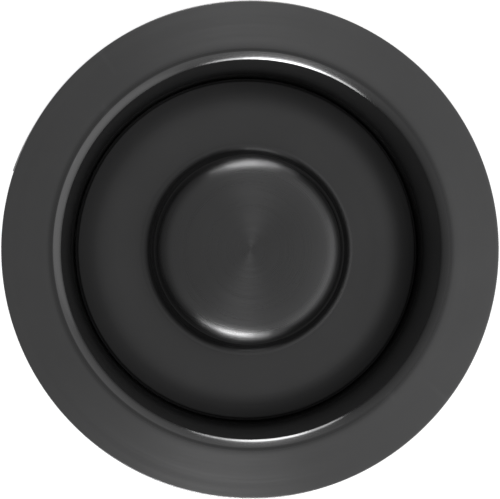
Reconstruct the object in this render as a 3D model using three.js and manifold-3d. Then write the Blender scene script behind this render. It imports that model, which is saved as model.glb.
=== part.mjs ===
// Sink end of a kitchen garbage disposal: a drawn sink flange with its lift-out stopper, and the
// three-bolt hardware under the sink that clamps the flange and locks the disposal to it.
//
// Frame: millimetres, +Z up. The origin is the centre of the sink hole, on the sink's top face, so the
// rim lies above z = 0 and everything below z = 0 hangs through the hole or under the sink.

import * as THREE from "three";
import { mergeVertices } from "three/addons/utils/BufferGeometryUtils.js";
import Module from "manifold-3d";

const wasm = await Module();
wasm.setup();

// ---------------------------------------------------------------- driving dimensions

// Sink and flange
const SINK_HOLE_DIAMETER = 88.9; // the 3 1/2 in hole the neck drops through
const SINK_THICKNESS = 5; // sink wall between the rim seal and the fibre gasket
const RIM_WIDTH = 12.7; // how far the rim reaches past the hole: 4 1/2 in over all
const RIM_HEIGHT = 3.3; // crest of the rim above the sink
const RIM_SLOPE = 0.8; // fall of the rim's face from its crest to its edge
const RIM_LIP = 1.2; // width of the turned-down edge
const SHEET = 1; // drawn sheet of the flange
const SHOULDER_RADIUS = 3.4; // rounding from the rim into the neck
const HOLE_GAP = 0.1; // neck to sink hole
const NECK_TAPER = 2.1; // how much the neck narrows down to the stopper's seat
const SEAT_WIDTH = 2.4; // cone that the stopper's seal rests on
const SLEEVE_LENGTH = 64; // from the sink's face to the sleeve's lower end
const GROOVE_FROM_END = 10.5; // snap ring groove above the sleeve's lower end
const GROOVE_DEPTH = 1.3;
const RIM_SEAL_GAP = 0.15; // rim seal to the rim's underside

// Under-sink clamp
const FIBRE_THICKNESS = 1.6;
const CLAMP_SLIP = 0.3; // fibre gasket and backup flange over the neck
const BACKUP_SHEET = 2.2;
const BACKUP_LIP = 1.6; // thickness of the backup flange's turned-down edges
const BACKUP_DEPTH = 6;
const SCREW_DIAMETER = 6.35; // 1/4 in
const SCREW_SPARE = 5.1; // thread left under the mounting ring, for a thinner sink
const SCREW_COUNT = 3;
const SCREW_HEAD_DIAMETER = 9.2;
const SCREW_HEAD_HEIGHT = 4.2;
const SCREW_SLOT_WIDTH = 1.5;
const SCREW_SLOT_DEPTH = 1.8;
const SCREW_CHAMFER = 0.95;
const SCREW_SIDE_GAP = 0.5; // screw to the backup flange's edges
const THREAD_GAP = 0.15; // screw to its hole

// Mounting ring, snap ring and lock ring
const SNAP_WIRE_DIAMETER = 3;
const SNAP_GAP_ANGLE = 16; // degrees left open
const RING_SLIP = 0.6; // rings that pass or turn past each other
const RING_PLATE = 2.5;
const BOSS_WALL = 1.75;
const BOSS_HEIGHT = 5; // above the plate
const PLATE_MARGIN = 0.7; // plate's edge inside the bosses' outer edge
const EAR_ANGLE = 20; // degrees
const HOOK_BITE = 3.2; // how far an ear reaches under its hook
const HOOK_SWEEP = 50; // degrees
const HOOK_RISE = 3.2; // climb of a hook over its sweep
const HOOK_THICKNESS = 2.2;
const HOOK_LEAD = 1; // degrees, hook start ahead of its ear
const STOP_ANGLE = 3; // degrees, tab that ends the turn
const STOP_DROP = 4.5;
const LOCK_SHEET = 1.4;
const LOCK_LIP_WIDTH = 9; // width of the lock ring's floor
const WINDOW_MARGIN = 2; // degrees of band kept beside a hook
const TOOL_HOLE_DIAMETER = 6.5;

// Mounting gasket and splash baffle
const GASKET_NECK_HEIGHT = 2.4;
const GASKET_NECK_BEVEL = 1; // how much the neck narrows to its top
const GASKET_FLANGE = 3.8;
const GASKET_SKIRT_DROP = 11.5; // below the flange
const GASKET_SKIRT_WALL = 4.1;
const GASKET_ROOF = 4.5; // rubber between the sleeve and the disposal's neck
const BAFFLE_GROOVE_DEPTH = 2.4;
const BAFFLE_GROOVE_HEIGHT = 2;
const BAFFLE_SHEET = 1.5;
const BAFFLE_DROP = 6; // fins' fall towards the middle
const BAFFLE_HOLE_DIAMETER = 17;
const BAFFLE_SLIT = 1.4;
const BAFFLE_SLIT_MARGIN = 3; // slit's end to the wall
const FIN_COUNT = 8;

// Stopper
const PLATE_DEPTH = 16.4; // top of the plate below the sink's face
const PLATE_THICKNESS = 2.1;
const PLATE_GAP = 0.95; // plate to the bore at its seat
const PLATE_FALL = 1.7; // how much the top rolls down to the edge
const PLATE_FALL_WIDTH = 10; // of the band that rolls down
const PLATE_FALL_POWER = 2.5; // how late it rolls down
const KNOB_DIAMETER = 44.6;
const KNOB_HEIGHT = 13.9;
const KNOB_EDGE_RADIUS = 4.2;
const KNOB_SIDE = 1.4; // straight side under the rounded edge
const KNOB_CROWN = 0.7; // middle of the knob's top above its rounded edge
const KNOB_FOOT_DIAMETER = 50.8;
const KNOB_FOOT_EDGE = 0.3; // thickness of the foot's edge
const KNOB_FOOT_FILLET = 3;
const KNOB_FOOT_SLOPE = 60; // degrees, of the cone above the fillet
const KNOB_WAIST_DIAMETER = 39.6;
const KNOB_HOLE_DEPTH = 8;
const SEAL_HEIGHT = 3.4;
const SEAL_BAND = 7; // radial width of the seal
const SEAL_BEVEL = 1.44; // bevel that meets the seat
const SEAL_TOP_BEVEL = 0.6;
const SEAL_FOOT_INSET = 3; // foot of the seal in from its bore
const GUIDE_FLANGE = 2;
const GUIDE_FLANGE_REACH = 2.6; // past the seal's bore
const GUIDE_LENGTH = 16; // vanes below the guide's flange
const GUIDE_VANES = 4;
const VANE_THICKNESS = 2.4;
const VANE_SHOULDER = 1.6; // fall of a vane's top to its outer edge
const VANE_TOE = 3; // width of a vane's lower end past the hub
const VANE_END_GAP = 2; // vane's lower end above the hub's
const GUIDE_HUB_DIAMETER = 17;
const GUIDE_GAP = 0.9; // vanes to the throat
const STUD_DIAMETER = 8;
const STUD_GAP = 0.15;
const STUD_CHAMFER = 0.8;
const STUD_END_GAP = 0.5; // stud's ends to the bottom of their bores
const WASHER_DIAMETER = 20;
const WASHER_THICKNESS = 1.5;
const NUT_ACROSS_FLATS = 13;
const NUT_HEIGHT = 6.5;
const NUT_DOME = 4;
const NUT_DOME_INSET = 0.4; // dome's edge inside the flats
const O_RING_SECTION = 2.4;
const O_RING_DIAMETER = 18;

// Clearances between pieces that touch
const TOUCH = 0.1; // faces that rest on each other
const RUBBER_GAP = 0.2; // rubber to what it seals against

// Making of solids
const PAST = 1; // how far cutters and joined solids run past a face

// Faceting
const ROUND = 40; // sides of the large turned pieces
const SMALL_ROUND = 16;

// ---------------------------------------------------------------- sizes worked out from them

const degrees = THREE.MathUtils.degToRad;

const holeRadius = SINK_HOLE_DIAMETER / 2;
const rimRadius = holeRadius + RIM_WIDTH;
const neckRadius = holeRadius - HOLE_GAP - SHEET; // inside, under the shoulder
const crestRadius = neckRadius + SHOULDER_RADIUS;
const shoulderZ = RIM_HEIGHT - SHOULDER_RADIUS; // centre of the shoulder's rounding
const boreRadius = neckRadius - NECK_TAPER; // inside, at the seat
const throatRadius = boreRadius - SEAT_WIDTH;
const tubeRadius = throatRadius + SHEET;
const seatZ = -PLATE_DEPTH - PLATE_THICKNESS - SEAL_HEIGHT; // top of the seat's cone
const sleeveEndZ = -SLEEVE_LENGTH;
const grooveZ = sleeveEndZ + GROOVE_FROM_END;
const wireRadius = SNAP_WIRE_DIAMETER / 2;
const grooveRadius = wireRadius + RUBBER_GAP; // of the groove's own section
const snapRadius = tubeRadius - GROOVE_DEPTH + grooveRadius; // centre line of the snap ring

const clampInner = holeRadius + CLAMP_SLIP;
const screwRadius = SCREW_DIAMETER / 2;
const boltCircleRadius = clampInner + BACKUP_LIP + SCREW_SIDE_GAP + screwRadius;
const backupOuter = boltCircleRadius + screwRadius + SCREW_SIDE_GAP + BACKUP_LIP;
const fibreBottom = -FIBRE_THICKNESS;
const backupTop = fibreBottom - TOUCH;
const backupBottom = backupTop - BACKUP_SHEET;
const screwTip = backupBottom - TOUCH;

const bossRadius = screwRadius + THREAD_GAP + BOSS_WALL;
const plateOuter = boltCircleRadius + bossRadius - PLATE_MARGIN;
const hookInner = boltCircleRadius + bossRadius + RING_SLIP;
const earOuter = hookInner + HOOK_BITE;
const bandInner = earOuter + RING_SLIP;
const bandOuter = bandInner + LOCK_SHEET;
const plateBottom = grooveZ + wireRadius + TOUCH;
const plateTop = plateBottom + RING_PLATE;
const screwLength = screwTip - SINK_THICKNESS - (plateBottom - SCREW_SPARE); // under the head
const hookSlope = HOOK_RISE / degrees(HOOK_SWEEP); // climb per radian, of ears and hooks alike

const gasketTop = sleeveEndZ - TOUCH;
const gasketNeckOuter = throatRadius + GASKET_ROOF + RUBBER_GAP;
const gasketFlangeTop = gasketTop - GASKET_NECK_HEIGHT;
const gasketFlangeBottom = gasketFlangeTop - GASKET_FLANGE;
const gasketEndZ = gasketFlangeBottom - GASKET_SKIRT_DROP;
const gasketRoofZ = gasketTop - GASKET_NECK_HEIGHT - GASKET_ROOF;
const lockFloorTop = gasketFlangeBottom - TOUCH;
const lockFloorInner = bandInner - LOCK_LIP_WIDTH;
const skirtOuter = lockFloorInner - RING_SLIP;
const gasketInner = throatRadius - RING_SLIP;
const baffleWallOuter = gasketInner - RING_SLIP;

const plateRadius = boreRadius - PLATE_GAP;
const sealInner = plateRadius - SEAL_BAND;
const guideRadius = throatRadius - GUIDE_GAP;
const studBore = STUD_DIAMETER / 2 + STUD_GAP;
const guideEnd = -PLATE_THICKNESS - SEAL_HEIGHT - RUBBER_GAP - GUIDE_FLANGE - GUIDE_LENGTH; // below the plate's top
const washerTop = guideEnd - TOUCH;
const nutTop = washerTop - WASHER_THICKNESS - TOUCH;
const nutBottom = nutTop - NUT_HEIGHT;

// ---------------------------------------------------------------- finishes

const finishes = {
  gunmetal: new THREE.MeshStandardMaterial({ color: 0x4a4a4c, roughness: 0.36, metalness: 1 }),
  knobMetal: new THREE.MeshStandardMaterial({ color: 0x454547, roughness: 0.3, metalness: 1 }),
  blackRubber: new THREE.MeshStandardMaterial({ color: 0x161616, roughness: 0.75, metalness: 0 }),
  sealRubber: new THREE.MeshStandardMaterial({ color: 0x1c1c1d, roughness: 0.6, metalness: 0 }),
  foam: new THREE.MeshStandardMaterial({ color: 0x2a2b2c, roughness: 0.95, metalness: 0 }),
  fibre: new THREE.MeshStandardMaterial({ color: 0x5a4a3a, roughness: 0.9, metalness: 0 }),
  zinc: new THREE.MeshStandardMaterial({ color: 0xb4b6b4, roughness: 0.38, metalness: 1 }),
  springSteel: new THREE.MeshStandardMaterial({ color: 0x8d9093, roughness: 0.3, metalness: 1 }),
  stainless: new THREE.MeshStandardMaterial({ color: 0xc2c4c6, roughness: 0.25, metalness: 1 }),
  plastic: new THREE.MeshStandardMaterial({ color: 0x222325, roughness: 0.5, metalness: 0 }),
};

// ---------------------------------------------------------------- shape helpers

/** Points [r, z] round an arc, both ends included. Angles are in degrees from +r towards +z. */
function arc(centreR, centreZ, radius, from, to, steps) {
  return Array.from({ length: steps + 1 }, (_, i) => {
    const angle = degrees(from + ((to - from) * i) / steps);
    return [centreR + radius * Math.cos(angle), centreZ + radius * Math.sin(angle)];
  });
}

/** Solid of revolution about Z from a loop of [r, z] points, given in either direction. */
function turned(loop, sides = ROUND) {
  const area = loop.reduce((sum, [r, z], i) => {
    const [nextR, nextZ] = loop[(i + 1) % loop.length];
    return sum + r * nextZ - nextR * z;
  }, 0);
  const ordered = area > 0 ? loop : [...loop].reverse();
  const points = [...ordered, ordered[0]].map(([r, z]) => new THREE.Vector2(Math.max(r, 0), z));
  return new THREE.LatheGeometry(points, sides).rotateX(Math.PI / 2);
}

/** Plain ring or disc between two radii and two heights. */
function ring(inner, outer, low, high, sides = ROUND) {
  return turned([[inner, low], [outer, low], [outer, high], [inner, high]], sides);
}

/** Box by its centre and size. */
function block(width, depth, height, x, y, z) {
  return new THREE.BoxGeometry(width, depth, height).translate(x, y, z);
}

/** Part of a ring whose height climbs with the angle, by slope millimetres per radian past angle 0. */
function ramp(inner, outer, low, high, from, to, slope) {
  const middle = degrees((from + to) / 2);
  const half = degrees((to - from) / 2);
  const steps = Math.max(4, Math.round((to - from) / 5));
  const shape = new THREE.Shape();
  shape.absarc(0, 0, outer, -half, half, false);
  shape.absarc(0, 0, inner, half, -half, true);
  const geometry = new THREE.ExtrudeGeometry(shape, {
    depth: high - low,
    bevelEnabled: false,
    curveSegments: steps,
  });
  const place = geometry.getAttribute("position");
  for (let i = 0; i < place.count; i++) {
    const angle = Math.atan2(place.getY(i), place.getX(i)) + middle;
    place.setZ(i, place.getZ(i) + low + slope * angle);
  }
  return geometry.rotateZ(middle);
}

/** A closed geometry as a manifold-3d solid. */
function solid(geometry) {
  const bare = geometry.clone();
  bare.deleteAttribute("normal");
  bare.deleteAttribute("uv");
  const merged = mergeVertices(bare, 1e-3);
  return new wasm.Manifold(
    new wasm.Mesh({
      numProp: 3,
      vertProperties: new Float32Array(merged.attributes.position.array),
      triVerts: new Uint32Array(merged.index.array),
    }),
  );
}

/** A manifold-3d solid back as a geometry. */
function geometryOf(made) {
  const mesh = made.getMesh();
  const geometry = new THREE.BufferGeometry()
    .setAttribute("position", new THREE.BufferAttribute(new Float32Array(mesh.vertProperties), 3))
    .setIndex(new THREE.BufferAttribute(new Uint32Array(mesh.triVerts), 1));
  geometry.computeVertexNormals();
  return geometry;
}

/** First geometry with the others joined on. */
function joined(first, ...others) {
  return geometryOf(others.reduce((sum, g) => sum.add(solid(g)), solid(first)));
}

/** A geometry with the others cut away. */
function cut(from, ...tools) {
  return geometryOf(tools.reduce((rest, g) => rest.subtract(solid(g)), solid(from)));
}

/** Copies of a geometry, evenly turned about Z. */
function around(geometry, count, start = 0) {
  const step = (2 * Math.PI) / count;
  return Array.from({ length: count }, (_, i) => geometry.clone().rotateZ(degrees(start) + i * step));
}

/** Circular arc in the XY plane, for a wire bent round it. */
class WireArc extends THREE.Curve {
  constructor(radius, from, to) {
    super();
    Object.assign(this, { radius, from: degrees(from), to: degrees(to) });
  }

  getPoint(t, target = new THREE.Vector3()) {
    const angle = this.from + (this.to - this.from) * t;
    return target.set(this.radius * Math.cos(angle), this.radius * Math.sin(angle), 0);
  }
}

// ---------------------------------------------------------------- sink flange, its seal and rings

/** Half angle, in degrees, at which a circle of this radius crosses a line this far from its centre. */
function angleAt(distance, radius) {
  return THREE.MathUtils.radToDeg(Math.acos(distance / radius));
}

/** Drawn flange: sloping rim, rounded shoulder, tapered neck, seat cone and grooved sleeve. */
function sinkFlange() {
  const edgeTop = RIM_HEIGHT - RIM_SLOPE;
  const lipZ = RUBBER_GAP;
  const beadInner = angleAt(snapRadius - throatRadius, grooveRadius + SHEET);
  const beadOuter = angleAt(snapRadius - tubeRadius, grooveRadius);
  const face = [
    [rimRadius, lipZ],
    [rimRadius, edgeTop - SHEET],
    ...arc(rimRadius - SHEET, edgeTop - SHEET, SHEET, 45, 90, 1),
    ...arc(crestRadius, shoulderZ, SHOULDER_RADIUS, 90, 180, 5),
    [boreRadius, seatZ],
    [throatRadius, seatZ - SEAT_WIDTH],
    ...arc(snapRadius, grooveZ, grooveRadius + SHEET, 180 - beadInner, 180 + beadInner, 4),
    [throatRadius, sleeveEndZ],
  ];
  const back = [
    [tubeRadius, sleeveEndZ],
    ...arc(snapRadius, grooveZ, grooveRadius, 180 + beadOuter, 180 - beadOuter, 4),
    [tubeRadius, seatZ - SEAT_WIDTH],
    [boreRadius + SHEET, seatZ],
    ...arc(crestRadius, shoulderZ, SHOULDER_RADIUS - SHEET, 180, 90, 3),
    [rimRadius - RIM_LIP, edgeTop - SHEET],
    [rimRadius - RIM_LIP, lipZ],
  ];
  return turned([...face, ...back]);
}

/** Foam ring that fills the rim's underside and seals on the sink. */
function rimSeal() {
  const inner = crestRadius;
  const outer = rimRadius - RIM_LIP - RIM_SEAL_GAP;
  const top = RIM_HEIGHT - SHEET - RIM_SEAL_GAP;
  return turned([[inner, 0], [outer, 0], [outer, top - RIM_SLOPE], [inner, top]]);
}

/** Open ring of round wire that sits in the sleeve's groove. */
function snapRing() {
  const section = new THREE.Shape().absarc(0, 0, wireRadius, 0, 2 * Math.PI);
  const path = new WireArc(snapRadius, SNAP_GAP_ANGLE / 2, 360 - SNAP_GAP_ANGLE / 2);
  return new THREE.ExtrudeGeometry(section, { steps: ROUND, curveSegments: 4, extrudePath: path });
}

/** Stamped ring with three threaded bosses and three ramped ears between them. */
function mountingRing() {
  const boss = ring(0, bossRadius, 0, RING_PLATE + BOSS_HEIGHT, SMALL_ROUND);
  const hole = ring(0, screwRadius + THREAD_GAP, -PAST, RING_PLATE + BOSS_HEIGHT + PAST, SMALL_ROUND);
  const half = EAR_ANGLE / 2;
  const ear = ramp(plateOuter - PAST, earOuter, 0, RING_PLATE, -half, half, hookSlope);
  const plate = ring(tubeRadius + RING_SLIP, plateOuter, 0, RING_PLATE);
  const bossStart = 180 / SCREW_COUNT;
  const body = joined(
    plate,
    ...around(boss.translate(boltCircleRadius, 0, 0), SCREW_COUNT, bossStart),
    ...around(ear, SCREW_COUNT),
  );
  return cut(body, ...around(hole.translate(boltCircleRadius, 0, 0), SCREW_COUNT, bossStart));
}

// ---------------------------------------------------------------- clamp: gasket, backup flange, screws

/** Flat fibre ring pressed to the sink's underside; z = 0 is its top face. */
function fibreGasket() {
  return ring(clampInner, backupOuter, fibreBottom, 0);
}

/** Steel ring with both edges turned down, so that the screw tips stay in its channel. */
function backupFlange() {
  const low = backupTop - BACKUP_DEPTH;
  return turned([
    [clampInner, low],
    [clampInner, backupTop],
    [backupOuter, backupTop],
    [backupOuter, low],
    [backupOuter - BACKUP_LIP, low],
    [backupOuter - BACKUP_LIP, backupBottom],
    [clampInner + BACKUP_LIP, backupBottom],
    [clampInner + BACKUP_LIP, low],
  ]);
}

/** Slotted screw, tip up; z = 0 is the tip. */
function mountingScrew() {
  const headRadius = SCREW_HEAD_DIAMETER / 2;
  const headBottom = -screwLength - SCREW_HEAD_HEIGHT;
  const body = turned([
    [0, 0],
    [screwRadius - SCREW_CHAMFER, 0],
    [screwRadius, -SCREW_CHAMFER],
    [screwRadius, -screwLength],
    [headRadius, -screwLength],
    [headRadius, headBottom + SCREW_CHAMFER],
    [headRadius - SCREW_CHAMFER, headBottom],
    [0, headBottom],
  ], SMALL_ROUND);
  const slot = block(SCREW_HEAD_DIAMETER + PAST, SCREW_SLOT_WIDTH, 2 * SCREW_SLOT_DEPTH, 0, 0, headBottom);
  return cut(body, slot);
}

// ---------------------------------------------------------------- lock ring, gasket and splash baffle

/** Turning ring whose hooks climb over the mounting ring's ears and draw the gasket up. */
function lockRing() {
  const hookFrom = -EAR_ANGLE / 2 - HOOK_LEAD;
  const hookTo = hookFrom + HOOK_SWEEP;
  const hookLow = plateTop + RING_SLIP / 2;
  const bandTop = hookLow + HOOK_THICKNESS + hookSlope * degrees(hookTo);
  const floorBottom = lockFloorTop - LOCK_SHEET;
  const band = turned([
    [lockFloorInner, floorBottom],
    [bandOuter, floorBottom],
    [bandOuter, bandTop],
    [bandInner, bandTop],
    [bandInner, lockFloorTop],
    [lockFloorInner, lockFloorTop],
  ]);
  const root = bandInner + LOCK_SHEET / 2;
  const hook = ramp(hookInner, root, hookLow, hookLow + HOOK_THICKNESS, hookFrom, hookTo, hookSlope);
  const stop = ramp(
    hookInner, root, hookLow - STOP_DROP, hookLow + HOOK_THICKNESS, hookFrom - STOP_ANGLE, hookFrom, hookSlope,
  );
  const gap = 360 / SCREW_COUNT - HOOK_SWEEP - STOP_ANGLE;
  const windowFrom = hookTo + WINDOW_MARGIN;
  const windowTo = windowFrom + gap - 2 * WINDOW_MARGIN;
  const windowLow = plateBottom - RING_PLATE;
  const opening = ramp(bandInner - PAST, bandOuter + PAST, windowLow, bandTop + PAST, windowFrom, windowTo, 0);
  const toolRadius = TOOL_HOLE_DIAMETER / 2;
  const toolHole = new THREE.CylinderGeometry(toolRadius, toolRadius, LOCK_SHEET + 2 * PAST, SMALL_ROUND)
    .rotateZ(Math.PI / 2)
    .translate((bandInner + bandOuter) / 2, 0, (windowLow + gasketFlangeTop) / 2);
  const body = joined(band, ...around(hook, SCREW_COUNT), ...around(stop, SCREW_COUNT));
  return cut(
    body,
    ...around(opening, SCREW_COUNT),
    ...around(toolHole, SCREW_COUNT, 180 / SCREW_COUNT),
    ...around(toolHole, SCREW_COUNT, (hookFrom + hookTo) / 2),
  );
}

/** Rubber collar between the sleeve's end and the disposal's neck. */
function mountingGasket() {
  const grooveTop = gasketTop - GASKET_NECK_HEIGHT + RUBBER_GAP;
  const grooveBottom = grooveTop - BAFFLE_GROOVE_HEIGHT;
  const grooveOuter = gasketInner + BAFFLE_GROOVE_DEPTH;
  return turned([
    [gasketInner, gasketTop],
    [gasketNeckOuter - GASKET_NECK_BEVEL, gasketTop],
    [gasketNeckOuter, gasketFlangeTop],
    [bandInner - RING_SLIP, gasketFlangeTop],
    [bandInner - RING_SLIP, gasketFlangeBottom],
    [skirtOuter, gasketFlangeBottom],
    [skirtOuter, gasketEndZ],
    [skirtOuter - GASKET_SKIRT_WALL, gasketEndZ],
    [skirtOuter - GASKET_SKIRT_WALL, gasketRoofZ],
    [gasketInner, gasketRoofZ],
    [gasketInner, grooveBottom],
    [grooveOuter, grooveBottom],
    [grooveOuter, grooveTop],
    [gasketInner, grooveTop],
  ]);
}

/** Removable rubber baffle: a rim held in the gasket's groove and a slit cone of fins. */
function splashBaffle() {
  const rimTop = gasketTop - GASKET_NECK_HEIGHT;
  const rimBottom = rimTop - BAFFLE_GROOVE_HEIGHT + 2 * RUBBER_GAP;
  const rimOuter = gasketInner + BAFFLE_GROOVE_DEPTH - RUBBER_GAP;
  const hole = BAFFLE_HOLE_DIAMETER / 2;
  const wallInner = baffleWallOuter - BAFFLE_SHEET;
  const coneTop = rimBottom - BAFFLE_SHEET;
  const body = turned([
    [wallInner, rimTop],
    [rimOuter, rimTop],
    [rimOuter, rimBottom],
    [baffleWallOuter, rimBottom],
    [baffleWallOuter, coneTop - BAFFLE_SHEET],
    [hole, coneTop - BAFFLE_DROP - BAFFLE_SHEET],
    [hole, coneTop - BAFFLE_DROP],
    [wallInner, coneTop],
  ]);
  const reach = wallInner - BAFFLE_SLIT_MARGIN;
  const slit = block(reach, BAFFLE_SLIT, 4 * BAFFLE_DROP, reach / 2, 0, coneTop - BAFFLE_DROP);
  return cut(body, ...around(slit, FIN_COUNT));
}

// ---------------------------------------------------------------- stopper; z = 0 is the plate's top

/** Metal plate that closes the bore; its top rolls down to a thin edge over the seal. */
function stopperPlate() {
  const fallFrom = plateRadius - PLATE_FALL_WIDTH;
  const roll = [0, 0.25, 0.5, 0.75, 1].map((share) => [
    fallFrom + PLATE_FALL_WIDTH * share,
    -PLATE_FALL * share ** PLATE_FALL_POWER,
  ]);
  return turned([[studBore, 0], ...roll, [plateRadius, -PLATE_THICKNESS], [studBore, -PLATE_THICKNESS]]);
}

/** Turned knob with a rounded edge, a finger waist and a flared foot, bored from below for the stud. */
function stopperKnob() {
  const radius = KNOB_DIAMETER / 2;
  const foot = KNOB_FOOT_DIAMETER / 2;
  const waist = KNOB_WAIST_DIAMETER / 2;
  const footTop = TOUCH + KNOB_FOOT_EDGE;
  const fillet = arc(foot, footTop + KNOB_FOOT_FILLET, KNOB_FOOT_FILLET, 270, 270 - KNOB_FOOT_SLOPE, 4);
  const [coneRadius, coneLow] = fillet.at(-1);
  const waistZ = coneLow + (coneRadius - waist) * Math.tan(degrees(KNOB_FOOT_SLOPE));
  const oRing = O_RING_DIAMETER / 2;
  const channel = O_RING_SECTION / 2 + RUBBER_GAP;
  const channelTop = O_RING_SECTION + RUBBER_GAP;
  const edgeCentre = KNOB_HEIGHT - KNOB_CROWN - KNOB_EDGE_RADIUS;
  const crown = [0.85, 0.6, 0].map((share) => [
    (radius - KNOB_EDGE_RADIUS) * share,
    KNOB_HEIGHT - KNOB_CROWN * share ** 4,
  ]);
  return turned([
    [0, KNOB_HOLE_DEPTH],
    [studBore, KNOB_HOLE_DEPTH],
    [studBore, TOUCH],
    [oRing - channel, TOUCH],
    [oRing - channel, channelTop],
    [oRing + channel, channelTop],
    [oRing + channel, TOUCH],
    [foot, TOUCH],
    ...fillet,
    [waist, waistZ],
    [radius, edgeCentre - KNOB_SIDE],
    ...arc(radius - KNOB_EDGE_RADIUS, edgeCentre, KNOB_EDGE_RADIUS, 0, 90, 5),
    ...crown,
  ]);
}

/** Rubber ring in the groove under the knob. */
function knobORing() {
  const radius = O_RING_SECTION / 2;
  return turned(arc(O_RING_DIAMETER / 2, radius + TOUCH, radius, 0, 315, 7), SMALL_ROUND);
}

/** Rubber ring under the plate, with a bevel that meets the seat's cone. */
function stopperSeal() {
  const outer = boreRadius - RUBBER_GAP;
  const top = -PLATE_THICKNESS - RUBBER_GAP;
  const bottom = -PLATE_THICKNESS - SEAL_HEIGHT - SEAL_BEVEL;
  return turned([
    [sealInner, top],
    [plateRadius - SEAL_BEVEL, top],
    [outer, top - SEAL_TOP_BEVEL],
    [outer, bottom + SEAL_BEVEL],
    [outer - SEAL_BEVEL, bottom],
    [sealInner + SEAL_FOOT_INSET, bottom],
    [sealInner + SEAL_FOOT_INSET, bottom + SEAL_BEVEL],
    [sealInner, bottom + SEAL_BEVEL],
  ]);
}

/** Moulded guide: hub and flange under the seal, with vanes that centre the stopper in the throat. */
function stopperGuide() {
  const core = sealInner - RUBBER_GAP - TOUCH;
  const flange = sealInner + GUIDE_FLANGE_REACH;
  const sealFace = -PLATE_THICKNESS - SEAL_HEIGHT - RUBBER_GAP;
  const flangeBottom = sealFace - GUIDE_FLANGE;
  const hub = GUIDE_HUB_DIAMETER / 2;
  const vaneEnd = guideEnd + VANE_END_GAP;
  const body = turned([
    [studBore, -PLATE_THICKNESS - TOUCH],
    [core, -PLATE_THICKNESS - TOUCH],
    [core, sealFace],
    [flange, sealFace],
    [flange, flangeBottom],
    [hub, flangeBottom],
    [hub, guideEnd],
    [studBore, guideEnd],
  ]);
  const vane = new THREE.Shape([
    new THREE.Vector2(hub - PAST, flangeBottom + PAST),
    new THREE.Vector2(flange, flangeBottom + PAST),
    new THREE.Vector2(flange, flangeBottom),
    new THREE.Vector2(guideRadius, flangeBottom - VANE_SHOULDER),
    new THREE.Vector2(guideRadius, guideEnd + GUIDE_LENGTH / 2),
    new THREE.Vector2(hub + VANE_TOE, vaneEnd),
    new THREE.Vector2(hub - PAST, vaneEnd),
  ]);
  const blade = new THREE.ExtrudeGeometry(vane, { depth: VANE_THICKNESS, bevelEnabled: false })
    .translate(0, 0, -VANE_THICKNESS / 2)
    .rotateX(Math.PI / 2);
  return joined(body, ...around(blade, GUIDE_VANES));
}

/** Threaded stud from the knob down into the cap nut. */
function stopperStud() {
  const radius = STUD_DIAMETER / 2;
  const top = KNOB_HOLE_DEPTH - STUD_END_GAP;
  const bottom = nutBottom + 2 * STUD_END_GAP;
  return turned([
    [0, top],
    [radius - STUD_CHAMFER, top],
    [radius, top - STUD_CHAMFER],
    [radius, bottom + STUD_CHAMFER],
    [radius - STUD_CHAMFER, bottom],
    [0, bottom],
  ], SMALL_ROUND);
}

/** Flat washer under the guide's hub. */
function stopperWasher() {
  const inner = STUD_DIAMETER / 2 + 2 * STUD_GAP;
  return ring(inner, WASHER_DIAMETER / 2, washerTop - WASHER_THICKNESS, washerTop, SMALL_ROUND);
}

/** Domed cap nut that closes the stud's lower end. */
function capNut() {
  const corner = NUT_ACROSS_FLATS / Math.sqrt(3);
  const hex = new THREE.CylinderGeometry(corner, corner, NUT_HEIGHT, 6)
    .rotateX(Math.PI / 2)
    .translate(0, 0, nutTop - NUT_HEIGHT / 2);
  const base = NUT_ACROSS_FLATS / 2 - NUT_DOME_INSET;
  const crown = [0, 30, 60, 90].map((angle) => [
    base * Math.cos(degrees(angle)),
    nutBottom - NUT_DOME * Math.sin(degrees(angle)),
  ]);
  const dome = turned([[0, nutBottom + PAST], [base, nutBottom + PAST], ...crown], SMALL_ROUND);
  const bore = ring(0, studBore, nutBottom + STUD_END_GAP, nutTop + PAST, SMALL_ROUND);
  return cut(joined(hex, dome), bore);
}

// ---------------------------------------------------------------- assembly

const model = new THREE.Group();

/** Adds one named piece to a group. */
function add(group, name, geometry, finish) {
  const mesh = new THREE.Mesh(geometry, finish);
  mesh.name = name;
  group.add(mesh);
  return mesh;
}

/** Adds an empty group at a height on the axis. */
function groupAt(z) {
  const group = new THREE.Group();
  group.position.z = z;
  model.add(group);
  return group;
}

add(model, "sink_flange", sinkFlange(), finishes.gunmetal);
add(model, "rim_seal", rimSeal(), finishes.foam);
add(model, "snap_ring", snapRing(), finishes.springSteel).position.z = grooveZ;
add(model, "mounting_ring", mountingRing(), finishes.zinc).position.z = plateBottom;

const clamp = groupAt(-SINK_THICKNESS);
add(clamp, "fibre_gasket", fibreGasket(), finishes.fibre);
add(clamp, "backup_flange", backupFlange(), finishes.zinc);
for (let i = 0; i < SCREW_COUNT; i++) {
  const screw = add(clamp, `mounting_screw_${i + 1}`, mountingScrew(), finishes.zinc);
  const angle = degrees(180 / SCREW_COUNT + (360 / SCREW_COUNT) * i);
  screw.position.set(boltCircleRadius * Math.cos(angle), boltCircleRadius * Math.sin(angle), screwTip);
  screw.rotation.z = angle;
}

add(model, "lock_ring", lockRing(), finishes.zinc);
add(model, "mounting_gasket", mountingGasket(), finishes.blackRubber);
add(model, "splash_baffle", splashBaffle(), finishes.blackRubber);

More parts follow.
